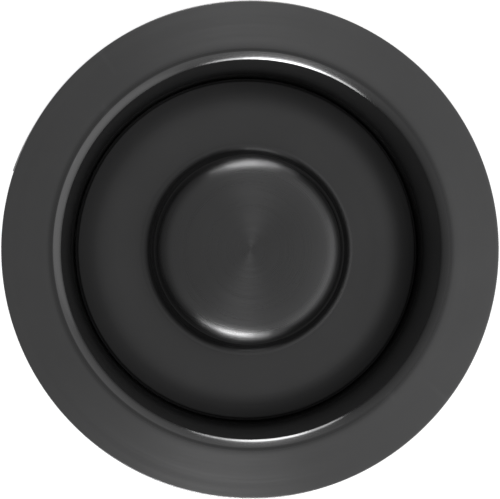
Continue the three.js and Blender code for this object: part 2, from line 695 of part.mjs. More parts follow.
const stopper = groupAt(-PLATE_DEPTH);
add(stopper, "stopper_plate", stopperPlate(), finishes.gunmetal);
add(stopper, "stopper_knob", stopperKnob(), finishes.knobMetal);
add(stopper, "knob_o_ring", knobORing(), finishes.blackRubber);
add(stopper, "stopper_seal", stopperSeal(), finishes.sealRubber);
add(stopper, "stopper_guide", stopperGuide(), finishes.plastic);
add(stopper, "stopper_stud", stopperStud(), finishes.stainless);
add(stopper, "stopper_washer", stopperWasher(), finishes.stainless);
add(stopper, "cap_nut", capNut(), finishes.stainless);

export default model;
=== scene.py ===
"""Sink end of a kitchen garbage disposal: its flange, lift-out stopper and under-sink hardware.

Sizes are in millimetres and are turned to metres where a mesh is made. Z runs up out of the sink, and
z = 0 is the sink's top face.
"""

import logging
import math
from dataclasses import dataclass, field
from enum import Enum
from typing import Iterable, Sequence

import bmesh
import bpy
from mathutils import Matrix, Vector


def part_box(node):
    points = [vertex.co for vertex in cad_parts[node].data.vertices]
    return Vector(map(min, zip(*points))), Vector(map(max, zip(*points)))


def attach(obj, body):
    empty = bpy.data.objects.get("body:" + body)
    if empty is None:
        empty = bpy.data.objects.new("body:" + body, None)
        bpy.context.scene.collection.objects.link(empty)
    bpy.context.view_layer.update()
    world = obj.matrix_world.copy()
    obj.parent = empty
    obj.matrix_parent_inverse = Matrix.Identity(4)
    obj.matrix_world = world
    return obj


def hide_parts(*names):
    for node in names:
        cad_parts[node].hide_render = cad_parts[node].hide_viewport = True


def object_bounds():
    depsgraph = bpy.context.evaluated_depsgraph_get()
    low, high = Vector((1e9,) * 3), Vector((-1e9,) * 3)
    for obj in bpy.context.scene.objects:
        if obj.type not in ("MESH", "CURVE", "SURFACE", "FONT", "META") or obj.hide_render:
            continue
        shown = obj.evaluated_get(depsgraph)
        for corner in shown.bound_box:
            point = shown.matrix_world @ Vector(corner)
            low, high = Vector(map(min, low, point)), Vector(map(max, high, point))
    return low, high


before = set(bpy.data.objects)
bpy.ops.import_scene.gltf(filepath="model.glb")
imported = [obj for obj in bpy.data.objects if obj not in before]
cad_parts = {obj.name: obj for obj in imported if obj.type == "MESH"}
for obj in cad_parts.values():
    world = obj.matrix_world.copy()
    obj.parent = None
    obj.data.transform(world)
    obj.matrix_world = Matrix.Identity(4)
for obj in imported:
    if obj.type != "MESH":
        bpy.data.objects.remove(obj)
CAD_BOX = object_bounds()

LOG = logging.getLogger("disposal")
MM = 0.001
ROUND = 224  # sides of the large turned pieces
SMALL_ROUND = 64
SHARP = math.radians(32)
FAR_OUT = 1000  # past every radius

Point = tuple[float, float]
Place = tuple[float, float, float]


# ---------------------------------------------------------------- outlines


@dataclass(frozen=True)
class Corner:
    """A corner of a turned outline, rounded by a radius."""

    r: float
    z: float
    radius: float = 0.0


def arc(centre: Point, radius: float, start: float, end: float, steps: int) -> list[Corner]:
    """Corners along an arc.

    Args:
        centre: Its centre as radius and height.
        radius: Its radius.
        start: First angle in degrees, from outwards towards up.
        end: Last angle in degrees.
        steps: How many chords stand for it.

    Returns:
        The arc's corners, both ends included, with no rounding of their own.
    """
    turns = (math.radians(start + (end - start) * i / steps) for i in range(steps + 1))
    return [Corner(centre[0] + radius * math.cos(a), centre[1] + radius * math.sin(a)) for a in turns]


def rounded(corners: Sequence[Corner], steps: int = 5) -> list[Point]:
    """Rounds a closed outline's corners.

    Args:
        corners: The outline, in order.
        steps: Chords in each rounding.

    Returns:
        The outline as plain points.
    """
    points: list[Point] = []
    for i, corner in enumerate(corners):
        here = Vector((corner.r, corner.z))
        back = Vector((corners[i - 1].r, corners[i - 1].z)) - here
        ahead = Vector((corners[(i + 1) % len(corners)].r, corners[(i + 1) % len(corners)].z)) - here
        half = back.angle(ahead) / 2 if corner.radius else 0
        if not corner.radius or half > math.radians(88):
            points.append((corner.r, corner.z))
            continue
        reach = min(corner.radius / math.tan(half), 0.48 * back.length, 0.48 * ahead.length)
        radius = reach * math.tan(half)
        centre = here + (back.normalized() + ahead.normalized()).normalized() * (radius / math.sin(half))
        first = here + back.normalized() * reach - centre
        last = here + ahead.normalized() * reach - centre
        sweep = first.angle_signed(last)
        for k in range(steps + 1):
            spoke = Matrix.Rotation(-sweep * k / steps, 2) @ first
            points.append((centre.x + spoke.x, centre.y + spoke.y))
    return points


# ---------------------------------------------------------------- meshes


@dataclass(frozen=True)
class NodeBox:
    """A CAD node's box in millimetres."""

    low: Vector
    high: Vector

    @classmethod
    def of(cls, node: str) -> "NodeBox":
        """Measures a node.

        Args:
            node: Its name.

        Returns:
            Its box.
        """
        low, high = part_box(node)
        return cls(Vector(low) / MM, Vector(high) / MM)

    @property
    def radius(self) -> float:
        """Half the box's width.

        Returns:
            It in millimetres.
        """
        return (self.high.x - self.low.x) / 2

    @property
    def centre(self) -> Vector:
        """The middle of the box.

        Returns:
            The place in millimetres.
        """
        return (self.low + self.high) / 2


def shade(mesh: bpy.types.Mesh, angle: float = SHARP) -> None:
    """Smooths a mesh, and keeps edges sharp past an angle.

    Args:
        mesh: The mesh.
        angle: The angle in radians.
    """
    mesh.shade_smooth()
    mesh.set_sharp_from_angle(angle=angle)


def new_object(name: str, mesh: bpy.types.Mesh) -> bpy.types.Object:
    """Puts a mesh into the scene.

    Args:
        name: The object's name.
        mesh: The mesh.

    Returns:
        The object, at the origin.
    """
    piece = bpy.data.objects.new(name, mesh)
    bpy.context.scene.collection.objects.link(piece)
    return piece


def revolve(name: str, outline: Sequence[Point], sides: int = ROUND,
            at: Place = (0, 0, 0)) -> bpy.types.Object:
    """Turns a closed outline round an upright axis.

    Args:
        name: The object's name.
        outline: Points as radius and height.
        sides: Sides round the axis.
        at: Where the axis stands.

    Returns:
        The object, with a UV map that runs round in U and along the outline in V.
    """
    made = bmesh.new()
    sheet = made.loops.layers.uv.new("turned")
    columns = []
    for k in range(sides):
        spoke = 2 * math.pi * k / sides
        columns.append([
            made.verts.new((
                (at[0] + r * math.cos(spoke)) * MM,
                (at[1] + r * math.sin(spoke)) * MM,
                (at[2] + z) * MM,
            ))
            for r, z in outline
        ])
    steps = [math.dist(outline[i], outline[(i + 1) % len(outline)]) for i in range(len(outline))]
    along = [sum(steps[:i]) / sum(steps) for i in range(len(outline) + 1)]
    for k, column in enumerate(columns):
        beside = columns[(k + 1) % sides]
        for i in range(len(outline)):
            j = (i + 1) % len(outline)
            if outline[i][0] < 1e-6 and outline[j][0] < 1e-6:
                continue
            face = made.faces.new((column[i], beside[i], beside[j], column[j]))
            corners = ((k, i), (k + 1, i), (k + 1, i + 1), (k, i + 1))
            for loop, (u, v) in zip(face.loops, corners):
                loop[sheet].uv = (u / sides, along[v])
    bmesh.ops.remove_doubles(made, verts=made.verts, dist=1e-8)
    bmesh.ops.recalc_face_normals(made, faces=made.faces)
    mesh = bpy.data.meshes.new(name)
    made.to_mesh(mesh)
    made.free()
    shade(mesh)
    return new_object(name, mesh)


def prism(name: str, outline: Sequence[Point], low: float, high: float) -> bpy.types.Object:
    """Raises a flat outline into an upright prism.

    Args:
        name: The object's name.
        outline: Points as x and y, anticlockwise from above.
        low: Height of its underside.
        high: Height of its top.

    Returns:
        The object.
    """
    made = bmesh.new()
    floor = [made.verts.new((x * MM, y * MM, low * MM)) for x, y in outline]
    roof = [made.verts.new((x * MM, y * MM, high * MM)) for x, y in outline]
    made.faces.new(list(reversed(floor)))
    made.faces.new(roof)
    for i in range(len(outline)):
        j = (i + 1) % len(outline)
        made.faces.new((floor[i], floor[j], roof[j], roof[i]))
    mesh = bpy.data.meshes.new(name)
    made.to_mesh(mesh)
    made.free()
    return new_object(name, mesh)


def drum(name: str, radius: float, low: float, high: float, sides: int = SMALL_ROUND,
         at: Place = (0, 0, 0)) -> bpy.types.Object:
    """A plain upright cylinder.

    Args:
        name: The object's name.
        radius: Its radius.
        low: Height of its underside.
        high: Height of its top.
        sides: Sides round the axis.
        at: Where the axis stands.

    Returns:
        The object.
    """
    return revolve(name, [(0, low), (radius, low), (radius, high), (0, high)], sides, at)


def slab(name: str, size: Place, at: Place) -> bpy.types.Object:
    """A block.

    Args:
        name: The object's name.
        size: Its size along each axis.
        at: Its centre.

    Returns:
        The object.
    """
    x, y = size[0] / 2, size[1] / 2
    outline = [(at[0] - x, at[1] - y), (at[0] + x, at[1] - y), (at[0] + x, at[1] + y), (at[0] - x, at[1] + y)]
    return prism(name, outline, at[2] - size[2] / 2, at[2] + size[2] / 2)


def sector(name: str, inner: float, outer: float, low: float, high: float,
           start: float, end: float, climb: float = 0.0) -> bpy.types.Object:
    """A stretch of ring that climbs as it goes round.

    Args:
        name: The object's name.
        inner: Inner radius.
        outer: Outer radius.
        low: Height of the underside at angle 0.
        high: Height of the top at angle 0.
        start: First angle in degrees.
        end: Last angle in degrees.
        climb: Millimetres gained a radian.

    Returns:
        The object.
    """
    steps = max(6, round((end - start) / 2))
    turns = [math.radians(start + (end - start) * i / steps) for i in range(steps + 1)]
    outline = [(outer * math.cos(a), outer * math.sin(a)) for a in turns]
    outline += [(inner * math.cos(a), inner * math.sin(a)) for a in reversed(turns)]
    middle = math.radians((start + end) / 2)
    piece = prism(name, outline, low, high)
    for vertex in piece.data.vertices:
        turn = math.atan2(vertex.co.y, vertex.co.x)
        turn = middle + (turn - middle + math.pi) % (2 * math.pi) - math.pi
        vertex.co.z += climb * turn * MM
    return piece


def turned_copy(piece: bpy.types.Object, degrees: float) -> bpy.types.Object:
    """A copy of a piece, turned about Z in its mesh.

    Args:
        piece: The piece.
        degrees: The turn.

    Returns:
        The copy.
    """
    mesh = piece.data.copy()
    mesh.transform(Matrix.Rotation(math.radians(degrees), 4, "Z"))
    return new_object(piece.name + "_copy", mesh)


def discard(*pieces: bpy.types.Object) -> None:
    """Deletes helper objects and their meshes.

    Args:
        *pieces: The objects.
    """
    for piece in pieces:
        mesh = piece.data
        bpy.data.objects.remove(piece)
        if mesh.users == 0:
            bpy.data.meshes.remove(mesh)


def settle(piece: bpy.types.Object, angle: float | None = SHARP) -> bpy.types.Object:
    """Turns a piece's modifiers into plain mesh.

    Args:
        piece: The object.
        angle: Edges past this angle stay sharp; None leaves the shading alone.

    Returns:
        The same object, with no modifiers.
    """
    graph = bpy.context.evaluated_depsgraph_get()
    mesh = bpy.data.meshes.new_from_object(piece.evaluated_get(graph))
    piece.modifiers.clear()
    old = piece.data
    piece.data = mesh
    mesh.name = piece.name
    bpy.data.meshes.remove(old)
    if angle is not None:
        shade(mesh, angle)
    return piece


class Shaping(Enum):
    """How one solid changes another."""

    JOIN = "UNION"
    CUT = "DIFFERENCE"
    KEEP = "INTERSECT"


def shape(piece: bpy.types.Object, way: Shaping, tools: Iterable[bpy.types.Object]) -> bpy.types.Object:
    """Joins, cuts or trims a piece with others, which are used up.

    Args:
        piece: The piece to change.
        way: What the tools do to it.
        tools: The other solids.

    Returns:
        The piece.
    """
    tools = list(tools)
    for tool in tools:
        change = piece.modifiers.new("shaping", "BOOLEAN")
        change.operation = way.value
        change.solver = "EXACT"
        change.object = tool
    settle(piece)
    discard(*tools)
    return piece


def ease_edges(piece: bpy.types.Object, width: float, steps: int = 2, angle: float = 38) -> bpy.types.Object:
    """Breaks a piece's sharp edges.

    Args:
        piece: The piece.
        width: Width of the bevel.
        steps: Strips in the bevel.
        angle: Edges past this angle in degrees are eased.

    Returns:
        The piece.
    """
    merged = bmesh.new()
    merged.from_mesh(piece.data)
    bmesh.ops.remove_doubles(merged, verts=merged.verts, dist=2e-6)
    bmesh.ops.dissolve_degenerate(merged, edges=merged.edges, dist=1e-6)
    merged.to_mesh(piece.data)
    merged.free()
    bevel = piece.modifiers.new("eased", "BEVEL")
    bevel.width = width * MM
    bevel.segments = steps
    bevel.limit_method = "ANGLE"
    bevel.angle_limit = math.radians(angle)
    bevel.use_clamp_overlap = True
    bevel.harden_normals = False
    return settle(piece, math.radians(30))


# ---------------------------------------------------------------- geometry nodes


class Bench:
    """A node tree under construction."""

    def __init__(self, tree: bpy.types.NodeTree) -> None:
        """Starts work on a tree.

        Args:
            tree: The tree that nodes are added to.
        """
        self.tree = tree

    def add(self, kind: str, **settings: object) -> bpy.types.Node:
        """Adds a node.

        Args:
            kind: Its type.
            **settings: Properties to set on it.

        Returns:
            The node.
        """
        node = self.tree.nodes.new(kind)
        for key, value in settings.items():
            setattr(node, key, value)
        return node

    def join(self, source: object, target: bpy.types.NodeSocket) -> None:
        """Links an output to an input, or sets a plain value.

        Args:
            source: An output socket or a value.
            target: The input socket.
        """
        if isinstance(source, bpy.types.NodeSocket):
            self.tree.links.new(source, target)
        else:
            target.default_value = source

    def math(self, operation: str, *values: object) -> bpy.types.NodeSocket:
        """Adds a math node.

        Args:
            operation: What it works out.
            *values: Its operands, as outputs or numbers.

        Returns:
            Its result.
        """
        node = self.add("ShaderNodeMath", operation=operation)
        for value, socket in zip(values, node.inputs):
            self.join(value, socket)
        return node.outputs[0]

    def plus(self, *values: object) -> bpy.types.NodeSocket:
        """The sum of two values.

        Args:
            *values: The two, as outputs or numbers.

        Returns:
            The result.
        """
        return self.math("ADD", *values)

    def minus(self, *values: object) -> bpy.types.NodeSocket:
        """The first value less the second.

        Args:
            *values: The two, as outputs or numbers.

        Returns:
            The result.
        """
        return self.math("SUBTRACT", *values)

    def times(self, *values: object) -> bpy.types.NodeSocket:
        """The product of two values.

        Args:
            *values: The two, as outputs or numbers.

        Returns:
            The result.
        """
        return self.math("MULTIPLY", *values)

    def least(self, *values: object) -> bpy.types.NodeSocket:
        """The smaller of two values.

        Args:
            *values: The two, as outputs or numbers.

        Returns:
            The result.
        """
        return self.math("MINIMUM", *values)

    def most(self, *values: object) -> bpy.types.NodeSocket:
        """The larger of two values.

        Args:
            *values: The two, as outputs or numbers.

        Returns:
            The result.
        """
        return self.math("MAXIMUM", *values)


class NodeRig(Bench):
    """A geometry node tree for a modifier."""

    def __init__(self, name: str) -> None:
        """Starts a tree.

        Args:
            name: The tree's name.
        """
        super().__init__(bpy.data.node_groups.new(name, "GeometryNodeTree"))
        self.tree.is_modifier = True
        self.sockets: dict[str, str] = {}
        self.ins = self.add("NodeGroupInput")
        self.outs = self.add("NodeGroupOutput")

    def ask(self, name: str, kind: str) -> None:
        """Adds a named input.

        Args:
            name: Its name.
            kind: Its kind of socket, such as Float.
        """
        made = self.tree.interface.new_socket(name, in_out="INPUT", socket_type=f"NodeSocket{kind}")
        self.sockets[name] = made.identifier

    def given(self, name: str) -> bpy.types.NodeSocket:
        """The value of a named input.

        Args:
            name: The input's name.

        Returns:
            Its output on the group's input node.
        """
        return self.ins.outputs[name]

    def finish(self, geometry: bpy.types.NodeSocket) -> None:
        """Ends the tree in Realize Instances and Set Material.

        Args:
            geometry: What the tree has made.
        """
        self.tree.interface.new_socket("Geometry", in_out="OUTPUT", socket_type="NodeSocketGeometry")
        solid = self.add("GeometryNodeRealizeInstances")
        dress = self.add("GeometryNodeSetMaterial")
        self.join(geometry, solid.inputs["Geometry"])
        self.join(solid.outputs[0], dress.inputs["Geometry"])
        self.join(self.given("Finish"), dress.inputs["Material"])
        self.join(dress.outputs[0], self.outs.inputs[0])

    def run(self, piece: bpy.types.Object, values: dict[str, object]) -> bpy.types.Object:
        """Runs the tree on a piece and keeps the result as plain mesh.

        Args:
            piece: The object that carries the tree.
            values: The named inputs.

        Returns:
            The same object.
        """
        modifier = piece.modifiers.new(self.tree.name, "NODES")
        modifier.node_group = self.tree
        for name, value in values.items():
            modifier[self.sockets[name]] = value
        return settle(piece)


def round_pattern() -> NodeRig:
    """Tree that repeats a piece evenly about Z.

    Returns:
        The tree.
    """
    rig = NodeRig("round_pattern")
    rig.ask("Piece", "Geometry")
    rig.ask("Count", "Int")
    rig.ask("Start", "Float")
    rig.ask("Finish", "Material")
    places = rig.add("GeometryNodeMeshLine")
    rig.join(rig.given("Count"), places.inputs["Count"])
    rig.join((0.0, 0.0, 0.0), places.inputs["Offset"])
    index = rig.add("GeometryNodeInputIndex")
    share = rig.math("DIVIDE", index.outputs[0], rig.given("Count"))
    turn = rig.plus(rig.times(share, 2 * math.pi), rig.given("Start"))
    spin = rig.add("ShaderNodeCombineXYZ")
    rig.join(turn, spin.inputs["Z"])
    copies = rig.add("GeometryNodeInstanceOnPoints")
    rig.join(places.outputs["Mesh"], copies.inputs["Points"])
    rig.join(rig.given("Piece"), copies.inputs["Instance"])
    rig.join(spin.outputs[0], copies.inputs["Rotation"])
    rig.finish(copies.outputs["Instances"])
    return rig


def threaded_rod() -> NodeRig:
    """Tree that makes an upright threaded rod with its top end at z = 0, and a head of any radius.

    A grid is wrapped round the axis. Its radius follows a ridge that climbs one pitch a turn, up to the
    head, where it follows the head's side.

    Returns:
        The tree.
    """
    closing_rows, stretch = 1.5, 2.2  # rows pressed onto each end, so that they close it
    end_rows = 0.4
    flat_crest = 1.25
    turns_up = 900.0  # keeps the turns counted for the ridge above zero
    rig = NodeRig("threaded_rod")
    for name in ("Length", "Radius", "Depth", "Pitch", "Tip", "Head Radius", "Head Height", "Edge"):
        rig.ask(name, "Float")
    for name in ("Rows", "Sides"):
        rig.ask(name, "Int")
    rig.ask("Finish", "Material")
    given, plus, minus, times = rig.given, rig.plus, rig.minus, rig.times
    whole = plus(given("Length"), given("Head Height"))
    grid = rig.add("GeometryNodeMeshGrid")
    rig.join(1.0, grid.inputs["Size X"])
    rig.join(1.0, grid.inputs["Size Y"])
    rig.join(given("Sides"), grid.inputs["Vertices X"])
    rig.join(given("Rows"), grid.inputs["Vertices Y"])
    where = rig.add("ShaderNodeSeparateXYZ")
    rig.join(rig.add("GeometryNodeInputPosition").outputs[0], where.inputs[0])
    turn = plus(where.outputs["X"], 0.5)
    share = plus(where.outputs["Y"], 0.5)
    spare = rig.math("DIVIDE", closing_rows, given("Rows"))
    wide = times(minus(share, spare), plus(1.0, times(spare, stretch)))
    height = minus(whole, times(rig.least(rig.most(wide, 0.0), 1.0), whole))
    climb = plus(rig.math("DIVIDE", height, given("Pitch")), turn)
    ridge = rig.math("FRACT", plus(climb, turns_up))
    wave = minus(1.0, rig.math("ABSOLUTE", minus(times(ridge, 2.0), 1.0)))
    crest = rig.least(times(wave, flat_crest), 1.0)
    side = minus(given("Radius"), times(minus(1.0, crest), given("Depth")))
    shank = rig.least(side, plus(given("Tip"), height))
    below = minus(height, given("Length"))
    in_head = rig.math("GREATER_THAN", below, 0.0)
    near = rig.least(rig.least(below, minus(given("Head Height"), below)), given("Edge"))
    gone = minus(given("Edge"), near)
    squares = minus(rig.math("POWER", given("Edge"), 2.0), rig.math("POWER", gone, 2.0))
    roll = rig.math("SQRT", rig.most(squares, 0.0))
    head = plus(minus(given("Head Radius"), given("Edge")), roll)
    radius = plus(times(head, in_head), times(shank, minus(1.0, in_head)))
    inner_rows = minus(0.5, rig.math("DIVIDE", end_rows, given("Rows")))
    radius = times(radius, rig.math("LESS_THAN", rig.math("ABSOLUTE", where.outputs["Y"]), inner_rows))
    angle = times(turn, 2 * math.pi)
    put = rig.add("ShaderNodeCombineXYZ")
    rig.join(times(radius, rig.math("COSINE", angle)), put.inputs["X"])
    rig.join(times(radius, rig.math("SINE", angle)), put.inputs["Y"])
    rig.join(times(height, -1.0), put.inputs["Z"])
    wrap = rig.add("GeometryNodeSetPosition")
    rig.join(grid.outputs["Mesh"], wrap.inputs["Geometry"])
    rig.join(put.outputs[0], wrap.inputs["Position"])
    weld = rig.add("GeometryNodeMergeByDistance")
    rig.join(wrap.outputs[0], weld.inputs["Geometry"])
    rig.join(2e-6, weld.inputs["Distance"])
    rig.finish(weld.outputs[0])
    return rig


def bent_wire() -> NodeRig:
    """Tree that bends round wire into an open ring.

    Returns:
        The tree.
    """
    rig = NodeRig("bent_wire")
    for name in ("Ring Radius", "Wire Radius", "Gap", "Height"):
        rig.ask(name, "Float")
    rig.ask("Finish", "Material")
    bend = rig.add("GeometryNodeCurveArc", mode="RADIUS")
    rig.join(200, bend.inputs["Resolution"])
    rig.join(rig.given("Ring Radius"), bend.inputs["Radius"])
    rig.join(rig.math("DIVIDE", rig.given("Gap"), 2.0), bend.inputs["Start Angle"])
    rig.join(rig.minus(2 * math.pi, rig.given("Gap")), bend.inputs["Sweep Angle"])
    section = rig.add("GeometryNodeCurvePrimitiveCircle", mode="RADIUS")
    rig.join(28, section.inputs["Resolution"])
    rig.join(rig.given("Wire Radius"), section.inputs["Radius"])
    wire = rig.add("GeometryNodeCurveToMesh")
    rig.join(bend.outputs["Curve"], wire.inputs["Curve"])
    rig.join(section.outputs["Curve"], wire.inputs["Profile Curve"])
    rig.join(True, wire.inputs["Fill Caps"])
    lift = rig.add("ShaderNodeCombineXYZ")
    rig.join(rig.given("Height"), lift.inputs["Z"])
    move = rig.add("GeometryNodeTransform")
    rig.join(wire.outputs[0], move.inputs["Geometry"])
    rig.join(lift.outputs[0], move.inputs["Translation"])
    rig.finish(move.outputs[0])
    return rig


# ---------------------------------------------------------------- finishes


class Marks(Enum):
    """How the fine marks of a metal run."""

    TURNED = "round the axis"
    EVEN = "every way alike"


class Board(Bench):
    """The nodes of one material."""

    def __init__(self, name: str) -> None:
        """Starts a material that has a principled shader.

        Args:
            name: The material's name.
        """
        self.material = bpy.data.materials.new(name)
        self.material.use_nodes = True
        super().__init__(self.material.node_tree)
        self.tree.nodes.clear()
        self.shader = self.add("ShaderNodeBsdfPrincipled")
        result = self.add("ShaderNodeOutputMaterial")
        self.tree.links.new(self.shader.outputs["BSDF"], result.inputs["Surface"])
        self.place = self.add("ShaderNodeTexCoord").outputs["Object"]

    def scale(self, source: object, low: float, high: float) -> bpy.types.NodeSocket:
        """Maps 0 to 1 onto a range.

        Args:
            source: The value.
            low: What 0 becomes.
            high: What 1 becomes.

        Returns:
            The mapped value.
        """
        node = self.add("ShaderNodeMapRange")
        self.join(source, node.inputs["Value"])
        node.inputs["To Min"].default_value = low
        node.inputs["To Max"].default_value = high
        return node.outputs["Result"]

    def noise(self, spacing: float, detail: float = 3.0) -> bpy.types.NodeSocket:
        """Even noise.

        Args:
            spacing: Millimetres between its features.
            detail: Octaves of the noise.

        Returns:
            The noise, 0 to 1.
        """
        node = self.add("ShaderNodeTexNoise")
        self.join(self.place, node.inputs["Vector"])
        node.inputs["Scale"].default_value = 1 / (spacing * MM)
        node.inputs["Detail"].default_value = detail
        return node.outputs[0]

    def cells(self, spacing: float) -> bpy.types.NodeSocket:
        """Distance to scattered points.

        Args:
            spacing: Millimetres between the points.

        Returns:
            The distance.
        """
        node = self.add("ShaderNodeTexVoronoi")
        self.join(self.place, node.inputs["Vector"])
        node.inputs["Scale"].default_value = 1 / (spacing * MM)
        return node.outputs["Distance"]

    def spoke(self) -> tuple[bpy.types.Node, bpy.types.NodeSocket]:
        """The place as its coordinates, and as a flat vector from the Z axis.

        Returns:
            The node that splits the coordinates, and the vector.
        """
        split = self.add("ShaderNodeSeparateXYZ")
        self.join(self.place, split.inputs[0])
        flat = self.add("ShaderNodeCombineXYZ")
        self.join(split.outputs["X"], flat.inputs["X"])
        self.join(split.outputs["Y"], flat.inputs["Y"])
        return split, flat.outputs[0]

    def reach(self, flat: bpy.types.NodeSocket) -> bpy.types.NodeSocket:
        """Distance from the Z axis.

        Args:
            flat: The flat vector from the axis.

        Returns:
            Its length in metres.
        """
        length = self.add("ShaderNodeVectorMath", operation="LENGTH")
        self.join(flat, length.inputs[0])
        return length.outputs["Value"]

    def band(self, inner: float, outer: float, blur: float) -> bpy.types.NodeSocket:
        """A soft-edged ring round the Z axis.

        Args:
            inner: Its inner radius in millimetres.
            outer: Its outer radius.
            blur: Width of its soft edges.

        Returns:
            1 inside the ring and 0 outside it.
        """
        reach = self.reach(self.spoke()[1])
        rise = self.math("DIVIDE", self.minus(reach, inner * MM), blur * MM)
        fall = self.math("DIVIDE", self.minus(outer * MM, reach), blur * MM)
        return self.most(self.least(self.least(rise, fall), 1.0), 0.0)

    def round_marks(self, spacing: float, length: float, detail: float = 3.0) -> bpy.types.NodeSocket:
        """Noise drawn out round the Z axis.

        Args:
            spacing: Distance between marks in millimetres, across them.
            length: How many stretches of mark fit in a turn.
            detail: Octaves of the noise.

        Returns:
            The noise, 0 to 1.
        """
        split, flat = self.spoke()
        aim = self.add("ShaderNodeVectorMath", operation="NORMALIZE")
        self.join(flat, aim.inputs[0])
        way = self.add("ShaderNodeSeparateXYZ")
        self.join(aim.outputs[0], way.inputs[0])
        spread = length / (2 * math.pi)
        where = self.add("ShaderNodeCombineXYZ")
        self.join(self.times(self.reach(flat), 1 / (spacing * MM)), where.inputs["X"])
        self.join(self.times(way.outputs["X"], spread), where.inputs["Y"])
        self.join(self.times(way.outputs["Y"], spread), where.inputs["Z"])
        node = self.add("ShaderNodeTexNoise", noise_dimensions="4D")
        self.join(where.outputs[0], node.inputs["Vector"])
        self.join(self.times(split.outputs["Z"], 1 / (spacing * MM)), node.inputs["W"])
        node.inputs["Scale"].default_value = 1.0
        node.inputs["Detail"].default_value = detail
        return node.outputs[0]

    def colour(self, factor: object, dark: Sequence[float], light: Sequence[float],
               lift_by: object = None) -> None:
        """Sets the base colour between two tints.

        Args:
            factor: 0 for the dark tint and 1 for the light one.
            dark: The dark tint.
            light: The light tint.
            lift_by: What the colour is multiplied by, if anything.
        """
        mix = self.add("ShaderNodeMix", data_type="RGBA")
        self.join(factor, mix.inputs["Factor"])
        mix.inputs[6].default_value = (*dark, 1)
        mix.inputs[7].default_value = (*light, 1)
        tone = mix.outputs[2]
        if lift_by is not None:
            lift = self.add("ShaderNodeVectorMath", operation="SCALE")
            self.join(tone, lift.inputs[0])
            self.join(lift_by, lift.inputs["Scale"])
            tone = lift.outputs[0]
        self.join(tone, self.shader.inputs["Base Color"])

    def relief(self, layers: Sequence[tuple[object, float]]) -> None:
        """Adds bumps.

        Args:
            layers: Each a height from 0 to 1 with its depth in millimetres.
        """
        normal: object = None
        for height, depth in layers:
            bump = self.add("ShaderNodeBump")
            bump.inputs["Strength"].default_value = 1.0
            bump.inputs["Distance"].default_value = depth * MM
            self.join(height, bump.inputs["Height"])
            if normal is not None:
                self.join(normal, bump.inputs["Normal"])
            normal = bump.outputs[0]
        self.join(normal, self.shader.inputs["Normal"])


@dataclass(frozen=True)
class MetalFinish:
    """A bare, plated or coated metal."""

    name: str
    tint: tuple[float, float, float]
    roughness: float
    spread: float
    marks: Marks
    spacing: float = 0.16
    depth: float = 0.0016
    anisotropy: float = 0.0
    cloud: float = 0.08
    wear: float = 0.25
    # Painted highlight: past this radius the base colour is lifted by the factor below, so the rim shows
    # brighter.
    rim_highlight_from: float = 0.0
    rim_highlight_lift: float = 1.22
    # Painted shadow: a darker ring of this tone and half width, centred on the radius above, on the crest.
    crest_shade_tone: float = 0.88
    crest_shade_half: float = 0.6
    smooth_from: float = 0.0
    smooth_to: float = 0.0
    smooth_roughness: float = 0.19

    def material(self) -> bpy.types.Material:
        """Builds the material.

        Returns:
            The material.
        """
        board = Board(self.name)
        shader = board.shader
        shader.inputs["Metallic"].default_value = 1.0
        cloud = board.noise(14, 4)
        if self.marks is Marks.TURNED:
            fine = board.round_marks(self.spacing, 9)
            coarse = board.round_marks(self.spacing * 4.5, 3, 4)
            shader.inputs["Anisotropic"].default_value = self.anisotropy
            shader.inputs["Anisotropic Rotation"].default_value = 0.25
            along = board.add("ShaderNodeTangent", direction_type="UV_MAP", uv_map="turned")
            board.join(along.outputs[0], shader.inputs["Tangent"])
        else:
            fine = board.noise(self.spacing * 2, 4)
            coarse = board.noise(self.spacing * 12, 3)
        edge = board.add("ShaderNodeNewGeometry").outputs["Pointiness"]
        worn = board.times(board.most(board.minus(edge, 0.52), 0.0), 8 * self.wear)
        shine = board.least(board.plus(board.times(cloud, 0.6), worn), 1.0)
        dark = [c * (1 - self.cloud) for c in self.tint]
        light = [min(1.0, c * (1 + self.cloud) + 0.02) for c in self.tint]
        lift: object = None
        if self.rim_highlight_from:
            # Painted highlight: the base colour is lifted on the rim, past the crest.
            pale = board.scale(board.band(self.rim_highlight_from, FAR_OUT, 1.0), 1.0, self.rim_highlight_lift)
            # Painted shadow: a darker ring in the base colour on the crest.
            crest_shade = board.band(self.rim_highlight_from - self.crest_shade_half, self.rim_highlight_from + self.crest_shade_half, 0.3)
            lift = board.times(pale, board.scale(crest_shade, 1.0, self.crest_shade_tone))
        board.colour(shine, dark, light, lift)
        blend = board.plus(board.times(fine, 0.45), board.times(coarse, 0.55))
        rough = board.scale(blend, self.roughness - self.spread, self.roughness + self.spread)
        if self.smooth_to > 0:
            calm = board.band(self.smooth_from, self.smooth_to, 0.5)
            rough = board.minus(rough, board.times(calm, self.roughness - self.smooth_roughness))
        board.join(rough, shader.inputs["Roughness"])
        board.relief([(coarse, self.depth * 2.2), (fine, self.depth)])
        return board.material


@dataclass(frozen=True)
class SoftFinish:
    """Rubber, foam, fibre or moulded plastic."""

    name: str
    tint: tuple[float, float, float]
    roughness: float
    grain: float
    depth: float
    specular: float = 0.4
    dust: float = 0.35
    pores: bool = False
    sheen: float = 0.0

    def material(self) -> bpy.types.Material:
        """Builds the material.

        Returns:
            The material.
        """
        board = Board(self.name)
        shader = board.shader
        shader.inputs["Specular IOR Level"].default_value = self.specular
        shader.inputs["Sheen Weight"].default_value = self.sheen
        cloud = board.noise(9, 5)
        fine = board.cells(self.grain) if self.pores else board.noise(self.grain, 4)
        dust = board.times(cloud, cloud)
        light = [c + (0.5 - c) * 0.12 * self.dust for c in self.tint]
        board.colour(board.scale(dust, 0.0, 1.6), self.tint, light)
        board.join(board.scale(cloud, self.roughness - 0.1, self.roughness + 0.1), shader.inputs["Roughness"])
        board.relief([(cloud, self.depth * 1.5), (fine, self.depth)])
        return board.material


